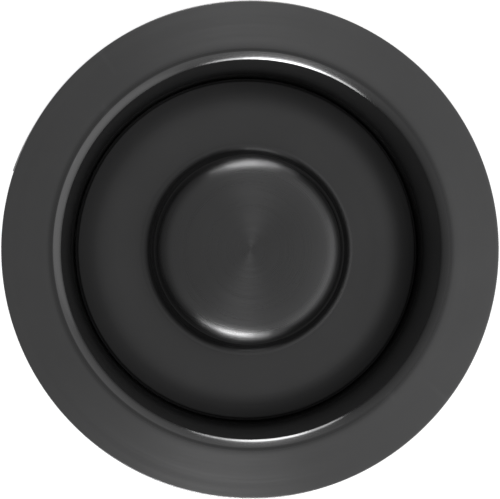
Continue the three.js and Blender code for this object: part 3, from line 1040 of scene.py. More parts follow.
@dataclass(frozen=True)
class FinishSet:
    """Every finish of the object."""

    # The gunmetal carries a painted highlight on its rim and a painted shadow ring on its crest.
    gunmetal: bpy.types.Material = field(default_factory=MetalFinish(
        "gunmetal", (0.225, 0.225, 0.227), 0.31, 0.085, Marks.TURNED, depth=0.005, anisotropy=0.72, wear=0.5,
        rim_highlight_from=46.0, smooth_from=41.6, smooth_to=46.2).material)
    knob: bpy.types.Material = field(default_factory=MetalFinish(
        "knob_metal", (0.204, 0.204, 0.206), 0.29, 0.11, Marks.TURNED, spacing=0.15, depth=0.007,
        anisotropy=0.78, wear=0.4).material)
    zinc: bpy.types.Material = field(default_factory=MetalFinish(
        "zinc", (0.36, 0.365, 0.365), 0.38, 0.1, Marks.EVEN, spacing=0.35, depth=0.005, cloud=0.2).material)
    spring: bpy.types.Material = field(default_factory=MetalFinish(
        "spring_steel", (0.3, 0.305, 0.31), 0.28, 0.06, Marks.EVEN, spacing=0.2, depth=0.002).material)
    stainless: bpy.types.Material = field(default_factory=MetalFinish(
        "stainless", (0.5, 0.5, 0.495), 0.22, 0.05, Marks.EVEN, spacing=0.15, depth=0.001).material)
    rubber: bpy.types.Material = field(default_factory=SoftFinish(
        "black_rubber", (0.016, 0.016, 0.017), 0.62, 0.35, 0.02).material)
    seal: bpy.types.Material = field(default_factory=SoftFinish(
        "seal_rubber", (0.05, 0.05, 0.051), 0.5, 0.3, 0.012, dust=0.2).material)
    foam: bpy.types.Material = field(default_factory=SoftFinish(
        "foam", (0.04, 0.042, 0.045), 0.88, 0.6, 0.12, 0.2, pores=True).material)
    fibre: bpy.types.Material = field(default_factory=SoftFinish(
        "fibre", (0.2, 0.135, 0.075), 0.85, 0.25, 0.05, 0.2, dust=0.8).material)
    plastic: bpy.types.Material = field(default_factory=SoftFinish(
        "plastic", (0.03, 0.031, 0.034), 0.45, 0.22, 0.012, 0.5, dust=0.15).material)


# ---------------------------------------------------------------- sub-assemblies


@dataclass
class SubAssembly:
    """A group of pieces that are dressed from one set of finishes."""

    finishes: FinishSet

    def fit(self, piece: bpy.types.Object, node: str, body: str, slot: str,
            finish: bpy.types.Material) -> None:
        """Dresses a piece, and puts it in a node's place on its body.

        Args:
            piece: The finished piece.
            node: The CAD node it stands for.
            body: The body it moves with.
            slot: The record's material slot; not used.
            finish: Its material.
        """
        piece.data.materials.clear()
        piece.data.materials.append(finish)
        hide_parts(node)
        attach(piece, body)
        LOG.info("%s stands for %s on %s, %d faces", piece.name, node, body, len(piece.data.polygons))


@dataclass
class SinkFlange(SubAssembly):
    """The drawn flange, the seal under its rim and the rings held on its sleeve."""

    sheet: float = 1.0
    lip: float = 1.2
    lip_gap: float = 0.2
    rim_fall: float = 0.8
    crest_inset: float = 10.4
    crest_flat: float = 0.15
    rim_ends: tuple[float, float] = (0.9, 0.1)
    neck_drop: float = 3.4
    neck: float = 43.35
    bore: float = 41.25
    seat_drop: float = 2.4
    seat_z: float = -21.9
    bead_z: float = -53.5
    bead_centre: float = 40.25
    bead_radius: float = 1.7
    shoulder_edge: float = 45.35
    shoulder_round: float = 0.35
    shoulder_arcs: tuple[tuple[float, float], ...] = ((9.0, 33.0), (3.0, 46.0))
    shoulder_slope: float = 24.0
    wire: float = 1.5
    wire_gap: float = 16.0
    seal_width: float = 9.05

    def shoulder(self, top: float) -> list[Corner]:
        """The shoulder's face, from the flat crest in to the neck, in arcs that get tighter.

        Args:
            top: Height of the crest.

        Returns:
            Its corners, the first on the crest.
        """
        corners = [Corner(self.shoulder_edge, top, self.shoulder_round)]
        r, z, slope = self.shoulder_edge, top, self.shoulder_slope
        for radius, last in self.shoulder_arcs:
            centre = (r + radius * math.sin(math.radians(slope)), z - radius * math.cos(math.radians(slope)))
            stretch = arc(centre, radius, 90 + slope, 90 + last, 8)
            corners += stretch[1:]
            r, z, slope = stretch[-1].r, stretch[-1].z, last
        return corners

    def body(self) -> None:
        """The flange itself, from the rim down to the sleeve's end."""
        box = NodeBox.of("sink_flange")
        rim, top, end = box.radius, box.high.z, box.low.z
        crest, throat = rim - self.crest_inset, self.bore - self.seat_drop
        tube = throat + self.sheet
        inner = math.degrees(math.acos((self.bead_centre - throat) / (self.bead_radius + self.sheet)))
        outer = math.degrees(math.acos((self.bead_centre - tube) / self.bead_radius))
        bead = (self.bead_centre, self.bead_z)
        cone = rim - self.crest_inset + self.crest_flat
        edge, start = self.rim_ends
        share = 1 - edge / (rim - cone)
        face = [
            Corner(rim, self.lip_gap, 0.3),
            Corner(rim, top - self.rim_fall, 0.35),
            Corner(cone + (rim - cone) * share, top - self.rim_fall * share),
            Corner(cone + (rim - cone) * start, top - self.rim_fall * start),
            Corner(cone, top),
            *self.shoulder(top),
            Corner(self.neck, top - self.neck_drop),
            Corner(self.bore, self.seat_z, 0.5),
            Corner(throat, self.seat_z - self.seat_drop, 0.8),
            *arc(bead, self.bead_radius + self.sheet, 180 - inner, 180 + inner, 12),
            Corner(throat, end, 0.3),
        ]
        back = [
            Corner(tube, end, 0.3),
            *arc(bead, self.bead_radius, 180 + outer, 180 - outer, 12),
            Corner(tube, self.seat_z - self.seat_drop, 0.8),
            Corner(self.bore + self.sheet, self.seat_z, 0.5),
            Corner(self.neck + self.sheet, top - self.neck_drop),
            Corner(self.neck + self.sheet + 0.3, top - 2.5, 0.8),
            Corner(crest, top - self.sheet - 0.1, 0.6),
            Corner(rim - self.lip, top - self.rim_fall - self.sheet, 0.3),
            Corner(rim - self.lip, self.lip_gap, 0.3),
        ]
        piece = revolve("flange_body", rounded(face + back, 7), 288)
        self.fit(piece, "sink_flange", "flange", "gunmetal", self.finishes.gunmetal)

    def seal(self) -> None:
        """The foam ring under the rim."""
        box = NodeBox.of("rim_seal")
        inner, low, high = box.radius - self.seal_width, box.low.z, box.high.z
        outline = [
            Corner(inner, low, 0.3),
            Corner(box.radius, low, 0.3),
            Corner(box.radius, high - self.rim_fall, 0.3),
            Corner(inner, high, 0.3),
        ]
        piece = revolve("flange_rim_seal", rounded(outline, 3))
        self.fit(piece, "rim_seal", "flange", "foam", self.finishes.foam)

    def snap(self, wires: NodeRig) -> None:
        """The open wire ring in the sleeve's groove.

        Args:
            wires: The tree that bends wire.
        """
        piece = new_object("flange_snap_ring", bpy.data.meshes.new("flange_snap_ring"))
        wires.run(piece, {
            "Ring Radius": self.bead_centre * MM,
            "Wire Radius": self.wire * MM,
            "Gap": math.radians(self.wire_gap),
            "Height": self.bead_z * MM,
            "Finish": self.finishes.spring,
        })
        self.fit(piece, "snap_ring", "flange", "spring_steel", self.finishes.spring)

    def build(self, wires: NodeRig) -> None:
        """Builds every piece of the flange.

        Args:
            wires: The tree that bends wire.
        """
        self.body()
        self.seal()
        self.snap(wires)


@dataclass
class MountingRing(SubAssembly):
    """The ring under the sink that carries the three screws and the three ears."""

    hole: float = 40.45
    edge: float = 54.35
    plate: float = 2.5
    bolt_circle: float = 50.025
    boss: float = 5.07
    screw_hole: float = 3.325
    ear_half: float = 10.0
    ear_edge: float = 58.85
    ear_root: float = 1.2
    climb: float = 3.667
    boss_rise: float = 5.0
    count: int = 3

    def build(self, pattern: NodeRig) -> None:
        """Builds the ring.

        Args:
            pattern: The tree that repeats a piece round Z.
        """
        box = NodeBox.of("mounting_ring")
        low = box.high.z - self.plate - self.boss_rise
        top = low + self.plate
        ring = rounded([
            Corner(self.hole, low, 0.3),
            Corner(self.edge, low, 0.3),
            Corner(self.edge, top, 0.3),
            Corner(self.hole, top, 0.3),
        ], 3)
        piece = revolve("mounting_ring_plate", ring, 192)
        place = (self.bolt_circle, 0, 0)
        boss = drum("boss", self.boss, low + 0.02, box.high.z, at=place)
        root, half = self.edge - self.ear_root, self.ear_half
        ear = sector("ear", root, self.ear_edge, low, top, -half, half, self.climb)
        hole = drum("hole", self.screw_hole, low - 2, box.high.z + 2, at=place)
        values = {"Count": self.count, "Start": math.radians(180 / self.count), "Finish": self.finishes.zinc}
        bosses = pattern.run(boss, values)
        holes = pattern.run(hole, values)
        ears = pattern.run(ear, {**values, "Start": 0.0})
        shape(piece, Shaping.JOIN, [bosses, ears])
        shape(piece, Shaping.CUT, [holes])
        ease_edges(piece, 0.3)
        self.fit(piece, "mounting_ring", "flange", "zinc", self.finishes.zinc)


@dataclass
class Clamp(SubAssembly):
    """The fibre gasket, the backup flange and the screws that press them to the sink."""

    inner: float = 44.75
    lip: float = 1.6
    sheet: float = 2.2
    screw: float = 3.175
    thread: float = 0.62
    pitch: float = 1.27
    head: float = 4.6
    head_height: float = 4.2
    slot: float = 1.5
    slot_depth: float = 1.8
    tip_share: float = 0.7
    count: int = 3

    def fibre(self) -> None:
        """The flat fibre ring."""
        box = NodeBox.of("fibre_gasket")
        outline = [
            Corner(self.inner, box.low.z, 0.25),
            Corner(box.radius, box.low.z, 0.25),
            Corner(box.radius, box.high.z, 0.25),
            Corner(self.inner, box.high.z, 0.25),
        ]
        piece = revolve("clamp_fibre_gasket", rounded(outline, 3))
        self.fit(piece, "fibre_gasket", "clamp", "fibre", self.finishes.fibre)

    def backup(self) -> None:
        """The pressed steel channel over the screws' tips."""
        box = NodeBox.of("backup_flange")
        low, top, outer = box.low.z, box.high.z, box.radius
        outline = [
            Corner(self.inner, low, 0.5),
            Corner(self.inner, top, 1.3),
            Corner(outer, top, 1.3),
            Corner(outer, low, 0.5),
            Corner(outer - self.lip, low, 0.5),
            Corner(outer - self.lip, top - self.sheet, 0.5),
            Corner(self.inner + self.lip, top - self.sheet, 0.5),
            Corner(self.inner + self.lip, low, 0.5),
        ]
        piece = revolve("clamp_backup_flange", rounded(outline, 5))
        self.fit(piece, "backup_flange", "clamp", "zinc", self.finishes.zinc)

    def screws(self, rods: NodeRig) -> None:
        """The three slotted screws, tips up.

        Args:
            rods: The tree that makes threaded rods.
        """
        for number in range(1, self.count + 1):
            node = f"mounting_screw_{number}"
            box = NodeBox.of(node)
            length = box.high.z - box.low.z - self.head_height
            piece = new_object(f"clamp_screw_{number}", bpy.data.meshes.new(node))
            rods.run(piece, {
                "Length": length * MM,
                "Radius": self.screw * MM,
                "Depth": self.thread * MM,
                "Pitch": self.pitch * MM,
                "Tip": self.screw * self.tip_share * MM,
                "Head Radius": self.head * MM,
                "Head Height": self.head_height * MM,
                "Edge": 0.5 * MM,
                "Rows": 340,
                "Sides": 41,
                "Finish": self.finishes.zinc,
            })
            bottom = -length - self.head_height
            groove = slab("slot", (self.head * 2 + 1, self.slot, 4), (0, 0, bottom + self.slot_depth - 2))
            shape(piece, Shaping.CUT, [groove])
            turn = Matrix.Rotation(math.atan2(box.centre.y, box.centre.x), 4, "Z")
            spot = Matrix.Translation(Vector((box.centre.x, box.centre.y, box.high.z)) * MM)
            piece.data.transform(spot @ turn)
            self.fit(piece, node, f"screw_{number}", "zinc", self.finishes.zinc)

    def build(self, rods: NodeRig) -> None:
        """Builds every piece of the clamp.

        Args:
            rods: The tree that makes threaded rods.
        """
        self.fibre()
        self.backup()
        self.screws(rods)


@dataclass
class LockRing(SubAssembly):
    """The turning ring that hooks over the mounting ring's ears."""

    sheet: float = 1.4
    floor_inner: float = 50.45
    hook_inner: float = 55.65
    hook_low: float = -49.1
    hook_thick: float = 2.2
    hook_start: float = -11.0
    hook_sweep: float = 50.0
    stop_angle: float = 3.0
    stop_drop: float = 4.5
    climb: float = 3.667
    window_low: float = -54.4
    window_margin: float = 2.0
    tool_hole: float = 3.25
    tool_z: float = -60.45
    count: int = 3

    def build(self, pattern: NodeRig) -> None:
        """Builds the ring.

        Args:
            pattern: The tree that repeats a piece round Z.
        """
        box = NodeBox.of("lock_ring")
        outer, low, top = box.radius, box.low.z, box.high.z
        inner = outer - self.sheet
        outline = rounded([
            Corner(self.floor_inner, low, 0.5),
            Corner(outer, low, 1.6),
            Corner(outer, top, 0.4),
            Corner(inner, top, 0.4),
            Corner(inner, low + self.sheet, 0.5),
            Corner(self.floor_inner, low + self.sheet, 0.5),
        ], 5)
        piece = revolve("lock_ring_band", outline, 240)
        root = inner + self.sheet / 2
        end = self.hook_start + self.hook_sweep
        high = self.hook_low + self.hook_thick
        hook = sector("hook", self.hook_inner, root, self.hook_low, high, self.hook_start, end, self.climb)
        stop = sector("stop", self.hook_inner, root, self.hook_low - self.stop_drop, high - 0.01,
                      self.hook_start - self.stop_angle, self.hook_start + 0.05, self.climb)
        first = end + self.window_margin
        last = first + 360 / self.count - self.hook_sweep - self.stop_angle - 2 * self.window_margin
        window = sector("window", inner - 2, outer + 2, self.window_low, top + 2, first, last)
        hole = drum("tool_hole", self.tool_hole, -4, 4)
        place = Matrix.Translation(Vector((inner, 0, self.tool_z)) * MM)
        hole.data.transform(place @ Matrix.Rotation(math.pi / 2, 4, "Y"))
        second = turned_copy(hole, 0)
        values = {"Count": self.count, "Start": 0.0, "Finish": self.finishes.zinc}
        hooks = pattern.run(hook, values)
        stops = pattern.run(stop, values)
        windows = pattern.run(window, values)
        holes = pattern.run(hole, {**values, "Start": math.radians(180 / self.count)})
        more = pattern.run(second, {**values, "Start": math.radians(self.hook_start + self.hook_sweep / 2)})
        shape(piece, Shaping.CUT, [windows, holes, more])
        shape(piece, Shaping.JOIN, [hooks, stops])
        ease_edges(piece, 0.22)
        self.fit(piece, "lock_ring", "lock_ring", "zinc", self.finishes.zinc)


@dataclass
class GasketAndBaffle(SubAssembly):
    """The rubber collar over the disposal's neck and the splash baffle held in it."""

    inner: float = 38.25
    neck_outer: float = 43.55
    neck_height: float = 2.4
    flange: float = 3.8
    skirt_outer: float = 49.85
    skirt_wall: float = 4.1
    roof: float = 6.9
    groove: float = 2.4
    baffle_wall: float = 37.65
    sheet: float = 1.5
    hole: float = 8.5
    drop: float = 6.0
    slit: float = 1.4
    slit_end: float = 1.25
    slit_margin: float = 3.0
    cutter: float = 30.0
    rim_thick: float = 1.6
    ribs: int = 4
    rib_drop: float = 3.0
    rib_pitch: float = 2.1
    rib_out: float = 0.4
    groove_below: float = 1.8
    groove_above: float = 0.2
    fins: int = 8

    def gasket(self) -> None:
        """The rubber collar."""
        box = NodeBox.of("mounting_gasket")
        top, low, rim = box.high.z, box.low.z, box.radius
        shelf = top - self.neck_height
        under = shelf - self.flange
        skirt_inner = self.skirt_outer - self.skirt_wall
        ribs = []
        for i in range(self.ribs):
            z = under - self.rib_drop - self.rib_pitch * i
            ribs += [Corner(self.skirt_outer, z + 0.5), Corner(self.skirt_outer + self.rib_out, z, 0.15),
                     Corner(self.skirt_outer, z - 0.5)]
        outline = [
            Corner(self.inner, top, 0.3),
            Corner(self.neck_outer - 1, top, 0.4),
            Corner(self.neck_outer, shelf, 0.5),
            Corner(rim, shelf, 0.7),
            Corner(rim, under, 0.7),
            Corner(self.skirt_outer, under, 0.5),
            *ribs,
            Corner(self.skirt_outer, low, 0.9),
            Corner(skirt_inner, low, 0.9),
            Corner(skirt_inner, top - self.roof, 0.7),
            Corner(self.inner, top - self.roof, 0.4),
            Corner(self.inner, shelf - self.groove_below, 0.2),
            Corner(self.inner + self.groove, shelf - self.groove_below, 0.2),
            Corner(self.inner + self.groove, shelf + self.groove_above, 0.2),
            Corner(self.inner, shelf + self.groove_above, 0.2),
        ]
        piece = revolve("gasket_collar", rounded(outline, 4))
        self.fit(piece, "mounting_gasket", "gasket", "black_rubber", self.finishes.rubber)

    def baffle(self, pattern: NodeRig) -> None:
        """The slit rubber cone.

        Args:
            pattern: The tree that repeats a piece round Z.
        """
        box = NodeBox.of("splash_baffle")
        rim_top = box.high.z
        rim_low = rim_top - self.rim_thick
        wall_inner = self.baffle_wall - self.sheet
        cone = rim_low - self.sheet
        outline = [
            Corner(wall_inner, rim_top, 0.4),
            Corner(box.radius, rim_top, 0.3),
            Corner(box.radius, rim_low, 0.3),
            Corner(self.baffle_wall, rim_low, 0.3),
            Corner(self.baffle_wall, cone - self.sheet, 0.9),
            Corner(self.hole, cone - self.drop - self.sheet, 0.5),
            Corner(self.hole, cone - self.drop, 0.5),
            Corner(wall_inner, cone, 1.2),
        ]
        piece = revolve("baffle_cone", rounded(outline, 4), 192)
        reach = wall_inner - self.slit_margin
        gap = slab("slit", (reach, self.slit, self.cutter), (reach / 2, 0, cone))
        half = self.cutter / 2
        relief = drum("slit_end", self.slit_end, -half, half, 24, (reach, 0, cone))
        values = {"Count": self.fins, "Start": 0.0, "Finish": self.finishes.rubber}
        gaps = pattern.run(gap, values)
        reliefs = pattern.run(relief, values)
        shape(piece, Shaping.CUT, [gaps])
        shape(piece, Shaping.CUT, [reliefs])
        ease_edges(piece, 0.15)
        self.fit(piece, "splash_baffle", "gasket", "black_rubber", self.finishes.rubber)

    def build(self, pattern: NodeRig) -> None:
        """Builds the collar and the baffle.

        Args:
            pattern: The tree that repeats a piece round Z.
        """
        self.gasket()
        self.baffle(pattern)


@dataclass
class Stopper(SubAssembly):
    """The lift-out stopper: plate, knob and seal, with the guide and its bolt below."""

    plate_hole: float = 4.15
    plate_flat: float = 30.3
    plate_fall: float = 1.7
    fall_power: float = 2.5
    fall_steps: int = 24
    knob_edge: float = 5.4
    knob_tilt: float = 8.0
    knob_waist: float = 20.2
    knob_rim_drop: float = 6.3
    foot_overhang: float = 3.1
    foot_edge: float = 0.3
    foot_fillet: float = 2.2
    foot_slope: float = 60.0
    knob_hole: float = 4.15
    hole_depth: float = 8.0
    ring_groove: tuple[float, float, float] = (7.6, 10.4, 2.5)
    turning_steps: int = 14
    stud: float = 4.0
    seal_band: float = 7.0
    seal_bevel: float = 1.44
    seal_step: float = 3.0
    guide_step: float = 2.6
    hub: float = 8.5
    vane: float = 2.4
    vanes: int = 4
    nut_flats: float = 13.0
    nut_height: float = 6.5
    stud_cap: float = 0.4
    stud_thread: float = 0.6
    stud_pitch: float = 1.25
    stud_tip: float = 0.8

    def plate(self) -> None:
        """The metal plate, flat in the middle, whose top rolls down to a thin edge."""
        box = NodeBox.of("stopper_plate")
        edge, low, top = box.radius, box.low.z, box.high.z
        reach = edge - self.plate_flat
        roll = []
        for i in range(self.fall_steps + 1):
            share = i / self.fall_steps
            drop = self.plate_fall * share ** self.fall_power
            rounding = 0.2 if i == self.fall_steps else 0.0
            roll.append(Corner(self.plate_flat + reach * share, top - drop, rounding))
        outline = [
            Corner(self.plate_hole, top),
            *roll,
            Corner(edge, low, 0.1),
            Corner(self.plate_hole, low),
        ]
        piece = revolve("stopper_plate_disc", rounded(outline, 4), 288)
        self.fit(piece, "stopper_plate", "stopper", "gunmetal", self.finishes.gunmetal)

    def knob(self) -> None:
        """The turned knob with its crown, rounded edge, waist and coned foot."""
        box = NodeBox.of("stopper_knob")
        foot, low, top = box.radius, box.low.z, box.high.z
        side = foot - self.foot_overhang
        hollow = (foot, low + self.foot_edge + self.foot_fillet)
        fillet = arc(hollow, self.foot_fillet, 270, 270 - self.foot_slope, 10)
        cone = fillet[-1]
        waist_z = cone.z + (cone.r - self.knob_waist) * math.tan(math.radians(self.foot_slope))
        tilt = math.radians(self.knob_tilt)
        centre = side - self.knob_edge
        plateau = centre + self.knob_edge * math.sin(tilt)
        sag = plateau * math.tan(tilt) / 4
        shoulder = top - sag - self.knob_edge * math.cos(tilt)
        steps = self.turning_steps
        edge = arc((centre, shoulder), self.knob_edge, 0, 90 - self.knob_tilt, steps)
        dome = [Corner(plateau * i / steps, top - sag * (i / steps) ** 4) for i in range(steps - 1, -1, -1)]
        near, far, deep = self.ring_groove
        outline = [
            Corner(0, low + self.hole_depth),
            Corner(self.knob_hole, low + self.hole_depth),
            Corner(self.knob_hole, low),
            Corner(near, low),
            Corner(near, low + deep),
            Corner(far, low + deep),
            Corner(far, low),
            Corner(foot, low),
            *fillet,
            Corner(self.knob_waist, waist_z, 0.4),
            Corner(side, top - self.knob_rim_drop, 0.5),
            *edge,
            *dome,
        ]
        piece = revolve("stopper_knob_turning", rounded(outline, 6), 256)
        self.fit(piece, "stopper_knob", "stopper", "knob_metal", self.finishes.knob)

    def small_rings(self) -> None:
        """The O-ring under the knob and the washer under the guide."""
        box = NodeBox.of("knob_o_ring")
        section = (box.high.z - box.low.z) / 2
        ring = [(c.r, c.z) for c in arc((box.radius - section, box.centre.z), section, 0, 345, 23)]
        piece = revolve("stopper_o_ring", ring, 96)
        self.fit(piece, "knob_o_ring", "stopper", "black_rubber", self.finishes.rubber)
        box = NodeBox.of("stopper_washer")
        outline = [
            Corner(self.stud + 0.3, box.low.z, 0.15),
            Corner(box.radius, box.low.z, 0.3),
            Corner(box.radius, box.high.z, 0.3),
            Corner(self.stud + 0.3, box.high.z, 0.15),
        ]
        piece = revolve("stopper_washer_ring", rounded(outline, 3), 96)
        self.fit(piece, "stopper_washer", "stopper", "stainless", self.finishes.stainless)

    def seal(self) -> None:
        """The ribbed rubber ring that meets the seat."""
        box = NodeBox.of("stopper_seal")
        outer, top, low = box.radius, box.high.z, box.low.z
        inner = NodeBox.of("stopper_plate").radius - self.seal_band
        bevel, step = self.seal_bevel, inner + self.seal_step
        outline = [
            Corner(inner, top, 0.2),
            Corner(outer - 2.25, top, 0.4),
            Corner(outer, top - 0.6, 0.4),
            Corner(outer, top - 1.2, 0.2),
            Corner(outer - 0.3, top - 1.5, 0.2),
            Corner(outer, top - 1.8, 0.2),
            Corner(outer, low + bevel, 0.4),
            Corner(outer - bevel, low, 0.4),
            Corner(step, low, 0.4),
            Corner(step, low + bevel, 0.3),
            Corner(inner, low + bevel, 0.3),
        ]
        piece = revolve("stopper_seal_ring", rounded(outline, 4))
        self.fit(piece, "stopper_seal", "seal", "seal_rubber", self.finishes.seal)

    def guide(self, pattern: NodeRig) -> None:
        """The moulded hub and vanes.

        Args:
            pattern: The tree that repeats a piece round Z.
        """
        box = NodeBox.of("stopper_guide")
        top, end, reach = box.high.z, box.low.z, box.radius
        band = NodeBox.of("stopper_plate").radius - self.seal_band
        seat = top - 3.5
        under = seat - 2
        hole = self.stud + 0.15
        wide = band + self.guide_step
        core = [
            Corner(hole, top, 0.2),
            Corner(band - 0.3, top, 0.4),
            Corner(band - 0.3, seat, 0.2),
            Corner(wide, seat, 0.4),
            Corner(wide, under, 0.5),
            Corner(self.hub + 0.6, under, 1.6),
            Corner(self.hub, end, 0.5),
            Corner(hole, end, 0.3),
        ]
        piece = revolve("stopper_guide_moulding", rounded(core, 5), 192)
        half = self.vane / 2
        blade = bmesh.new()
        side = [(self.hub - 1, under + 1), (wide, under + 1), (wide, under),
                (reach, under - 1.6), (reach, end + 8), (self.hub + 3, end + 2), (self.hub - 1, end + 2)]
        near = [blade.verts.new((r * MM, -half * MM, z * MM)) for r, z in side]
        far = [blade.verts.new((r * MM, half * MM, z * MM)) for r, z in side]
        blade.faces.new(near)
        blade.faces.new(list(reversed(far)))
        for i in range(len(side)):
            j = (i + 1) % len(side)
            blade.faces.new((near[j], near[i], far[i], far[j]))
        bmesh.ops.recalc_face_normals(blade, faces=blade.faces)
        mesh = bpy.data.meshes.new("vane")
        blade.to_mesh(mesh)
        blade.free()
        vane = new_object("vane", mesh)
        vanes = pattern.run(vane, {"Count": self.vanes, "Start": 0.0, "Finish": self.finishes.plastic})
        shape(piece, Shaping.JOIN, [vanes])
        ease_edges(piece, 0.35)
        self.fit(piece, "stopper_guide", "stopper", "plastic", self.finishes.plastic)

    def bolt(self, rods: NodeRig) -> None:
        """The stud and the cap nut.

        Args:
            rods: The tree that makes threaded rods.
        """
        box = NodeBox.of("stopper_stud")
        piece = new_object("stopper_stud_rod", bpy.data.meshes.new("stopper_stud_rod"))
        rods.run(piece, {
            "Length": (box.high.z - box.low.z - self.stud_cap) * MM,
            "Radius": self.stud * MM,
            "Depth": self.stud_thread * MM,
            "Pitch": self.stud_pitch * MM,
            "Tip": self.stud * self.stud_tip * MM,
            "Head Radius": self.stud * self.stud_tip * MM,
            "Head Height": self.stud_cap * MM,
            "Edge": 0.1 * MM,
            "Rows": 240,
            "Sides": 41,
            "Finish": self.finishes.stainless,
        })
        piece.data.transform(Matrix.Translation((0, 0, box.high.z * MM)))
        self.fit(piece, "stopper_stud", "stopper", "stainless", self.finishes.stainless)
        box = NodeBox.of("cap_nut")
        top, end = box.high.z, box.low.z
        low = top - self.nut_height
        corner = self.nut_flats / math.sqrt(3)
        turns = [math.radians(60 * i) for i in range(6)]
        hexagon = [(corner * math.sin(a), -corner * math.cos(a)) for a in turns]
        piece = prism("stopper_cap_nut", hexagon, low, top)
        inner, mid, outer = corner - 1.9, corner - 0.75, corner + 0.1
        chamfers = [(0, low - 1), (inner, low - 1), (mid, low), (outer, low + 0.6),
                    (outer, top - 0.6), (mid, top), (inner, top + 1), (0, top + 1)]
        shape(piece, Shaping.KEEP, [revolve("nut_trim", chamfers, 96)])
        base = self.nut_flats / 2 - 0.4
        swings = [math.radians(a) for a in range(0, 91, 6)]
        cap = [(base * math.cos(a), low - (low - end) * math.sin(a)) for a in swings]
        dome = revolve("nut_dome", [(0, low + 1), (base, low + 1), *cap[:-1], (0, end)], 96)
        bore = drum("nut_bore", self.stud + 0.15, low + 0.5, top + 1, 48)
        shape(piece, Shaping.JOIN, [dome])
        shape(piece, Shaping.CUT, [bore])
        ease_edges(piece, 0.12)
        self.fit(piece, "cap_nut", "stopper", "stainless", self.finishes.stainless)

    def build(self, pattern: NodeRig, rods: NodeRig) -> None:
        """Builds every piece of the stopper.

        Args:
            pattern: The tree that repeats a piece round Z.
            rods: The tree that makes threaded rods.
        """
        self.plate()
        self.knob()
        self.small_rings()
        self.seal()
        self.guide(pattern)
        self.bolt(rods)


# ---------------------------------------------------------------- studio


@dataclass(frozen=True)
class SoftBox:
    """A soft light that faces the object."""

    name: str
    azimuth: float
    elevation: float
    distance: float
    width: float
    height: float
    radiance: float

    def place(self, target: Vector) -> None:
        """Puts the light round a target. Azimuth 0 is +Y and 90 is +X.

        Args:
            target: The place that it faces, in metres.
        """
        light = bpy.data.lights.new(self.name, "AREA")
        light.shape = "ELLIPSE"
        light.size, light.size_y = self.width, self.height
        light.energy = self.radiance * math.pi * self.width * self.height * math.pi / 4  # an ellipse's area
        lamp = bpy.data.objects.new(self.name, light)
        turn, lift = math.radians(self.azimuth), math.radians(self.elevation)
        away = Vector((math.sin(turn) * math.cos(lift), math.cos(turn) * math.cos(lift), math.sin(lift)))
        lamp.location = target + away * self.distance
        lamp.rotation_mode = "QUATERNION"
        lamp.rotation_quaternion = away.to_track_quat("Z", "Y")
        lamp.visible_camera = False
        bpy.context.scene.collection.objects.link(lamp)


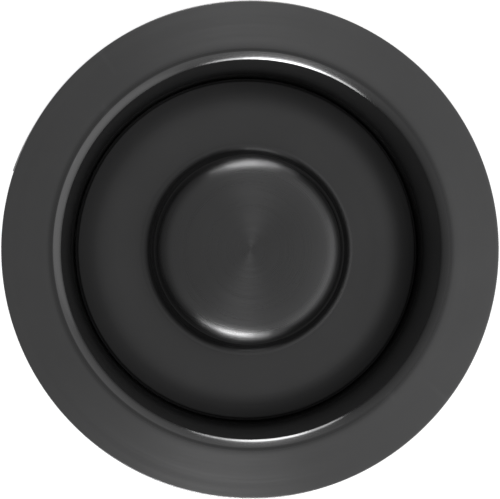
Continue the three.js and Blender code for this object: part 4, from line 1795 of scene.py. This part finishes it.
@dataclass
class Studio:
    """The floor, the lights and the camera."""

    camera_height: float = 0.45
    tilt_left: float = 3.2
    margin: float = 1.002
    floor_half: float = 6.0
    floor_thick: float = 4.0
    floor_gap: float = 0.05
    lights: tuple[SoftBox, ...] = (
        SoftBox("box_back", 358, 17, 0.76, 0.64, 0.28, 2.4),
        SoftBox("core_back", 358, 17, 0.74, 0.3, 0.26, 3.2),
        SoftBox("box_front", 188, 17, 0.76, 0.68, 0.3, 3.8),
        SoftBox("core_front", 187, 17, 0.74, 0.32, 0.28, 7.2),
        SoftBox("box_right", 112, 24, 0.75, 1.3, 0.72, 0.18),
    )
    dome: tuple[tuple[float, float], ...] = (
        (0.0, 0.05), (0.2, 0.1), (0.45, 0.19), (0.7, 0.27), (0.87, 0.255), (0.97, 0.19), (1.0, 0.16),
    )
    dome_right: float = 0.6
    dome_front: float = 0.1

    def floor(self) -> None:
        """A plain pale floor under the object."""
        low = CAD_BOX[0].z / MM - self.floor_gap
        half = self.floor_half / MM
        size = (2 * half, 2 * half, self.floor_thick)
        piece = slab("floor", size, (0, 0, low - self.floor_thick / 2))
        board = Board("floor_paint")
        shader = board.shader
        board.colour(board.noise(300, 2), (0.86, 0.86, 0.86), (0.9, 0.9, 0.9))
        shader.inputs["Roughness"].default_value = 0.9
        shader.inputs["Specular IOR Level"].default_value = 0.1
        shader.inputs["Emission Color"].default_value = (1, 1, 1, 1)
        shader.inputs["Emission Strength"].default_value = 0.75
        piece.data.materials.append(board.material)

    def world(self) -> None:
        """A dim dome, brightest half way up and to the right; it shows itself to the eye as white."""
        world = bpy.data.worlds.new("studio")
        bpy.context.scene.world = world
        world.use_nodes = True
        bench = Bench(world.node_tree)
        back = bench.tree.nodes["Background"]
        way = bench.add("ShaderNodeSeparateXYZ")
        bench.join(bench.add("ShaderNodeTexCoord").outputs["Generated"], way.inputs[0])
        ramp = bench.add("ShaderNodeValToRGB")
        ramp.color_ramp.interpolation = "EASE"
        stops = ramp.color_ramp.elements
        while len(stops) < len(self.dome):
            stops.new(0.5)
        for stop, (height, level) in zip(stops, self.dome):
            stop.position = height
            stop.color = (level, level, level, 1)
        bench.join(way.outputs["Z"], ramp.inputs[0])
        side = bench.times(way.outputs["X"], self.dome_right)
        near = bench.times(way.outputs["Y"], -self.dome_front)
        level = bench.times(ramp.outputs[0], bench.plus(bench.plus(side, near), 1.0))
        seen = bench.add("ShaderNodeLightPath").outputs["Is Camera Ray"]
        bench.join(bench.most(level, seen), back.inputs["Strength"])
        back.inputs["Color"].default_value = (1, 1, 1, 1)

    def camera(self) -> None:
        """The camera, almost straight above the rim."""
        box = NodeBox.of("sink_flange")
        target = Vector((0, 0, (box.high.z - 0.8) * MM))
        lens = bpy.data.cameras.new("camera")
        lens.sensor_width = 36
        half = box.radius * MM * self.margin
        lens.lens = lens.sensor_width / 2 / (half / self.camera_height)
        lens.clip_start, lens.clip_end = 0.01, 50
        camera = bpy.data.objects.new("camera", lens)
        lean = math.radians(self.tilt_left)
        lens.shift_x = -box.radius * MM / self.camera_height * math.sin(lean) / 2
        camera.location = target + Vector((-math.sin(lean), 0, math.cos(lean))) * self.camera_height
        camera.rotation_euler = (0, -lean, 0)
        bpy.context.scene.collection.objects.link(camera)
        bpy.context.scene.camera = camera

    def build(self) -> None:
        """Sets up the whole studio."""
        self.camera()
        self.floor()
        self.world()
        for light in self.lights:
            light.place(Vector((0, 0, 0)))
        view = bpy.context.scene.view_settings
        view.view_transform = "Standard"
        view.look = "None"
        view.exposure, view.gamma = 0.0, 1.0


def main() -> None:
    """Builds the object and the studio."""
    logging.basicConfig(level=logging.INFO, format="%(name)s: %(message)s")
    studio = Studio()
    studio.build()
    finishes = FinishSet()
    pattern, rods, wires = round_pattern(), threaded_rod(), bent_wire()
    SinkFlange(finishes).build(wires)
    MountingRing(finishes).build(pattern)
    Clamp(finishes).build(rods)
    LockRing(finishes).build(pattern)
    GasketAndBaffle(finishes).build(pattern)
    Stopper(finishes).build(pattern, rods)


if __name__ == "__main__":
    main()
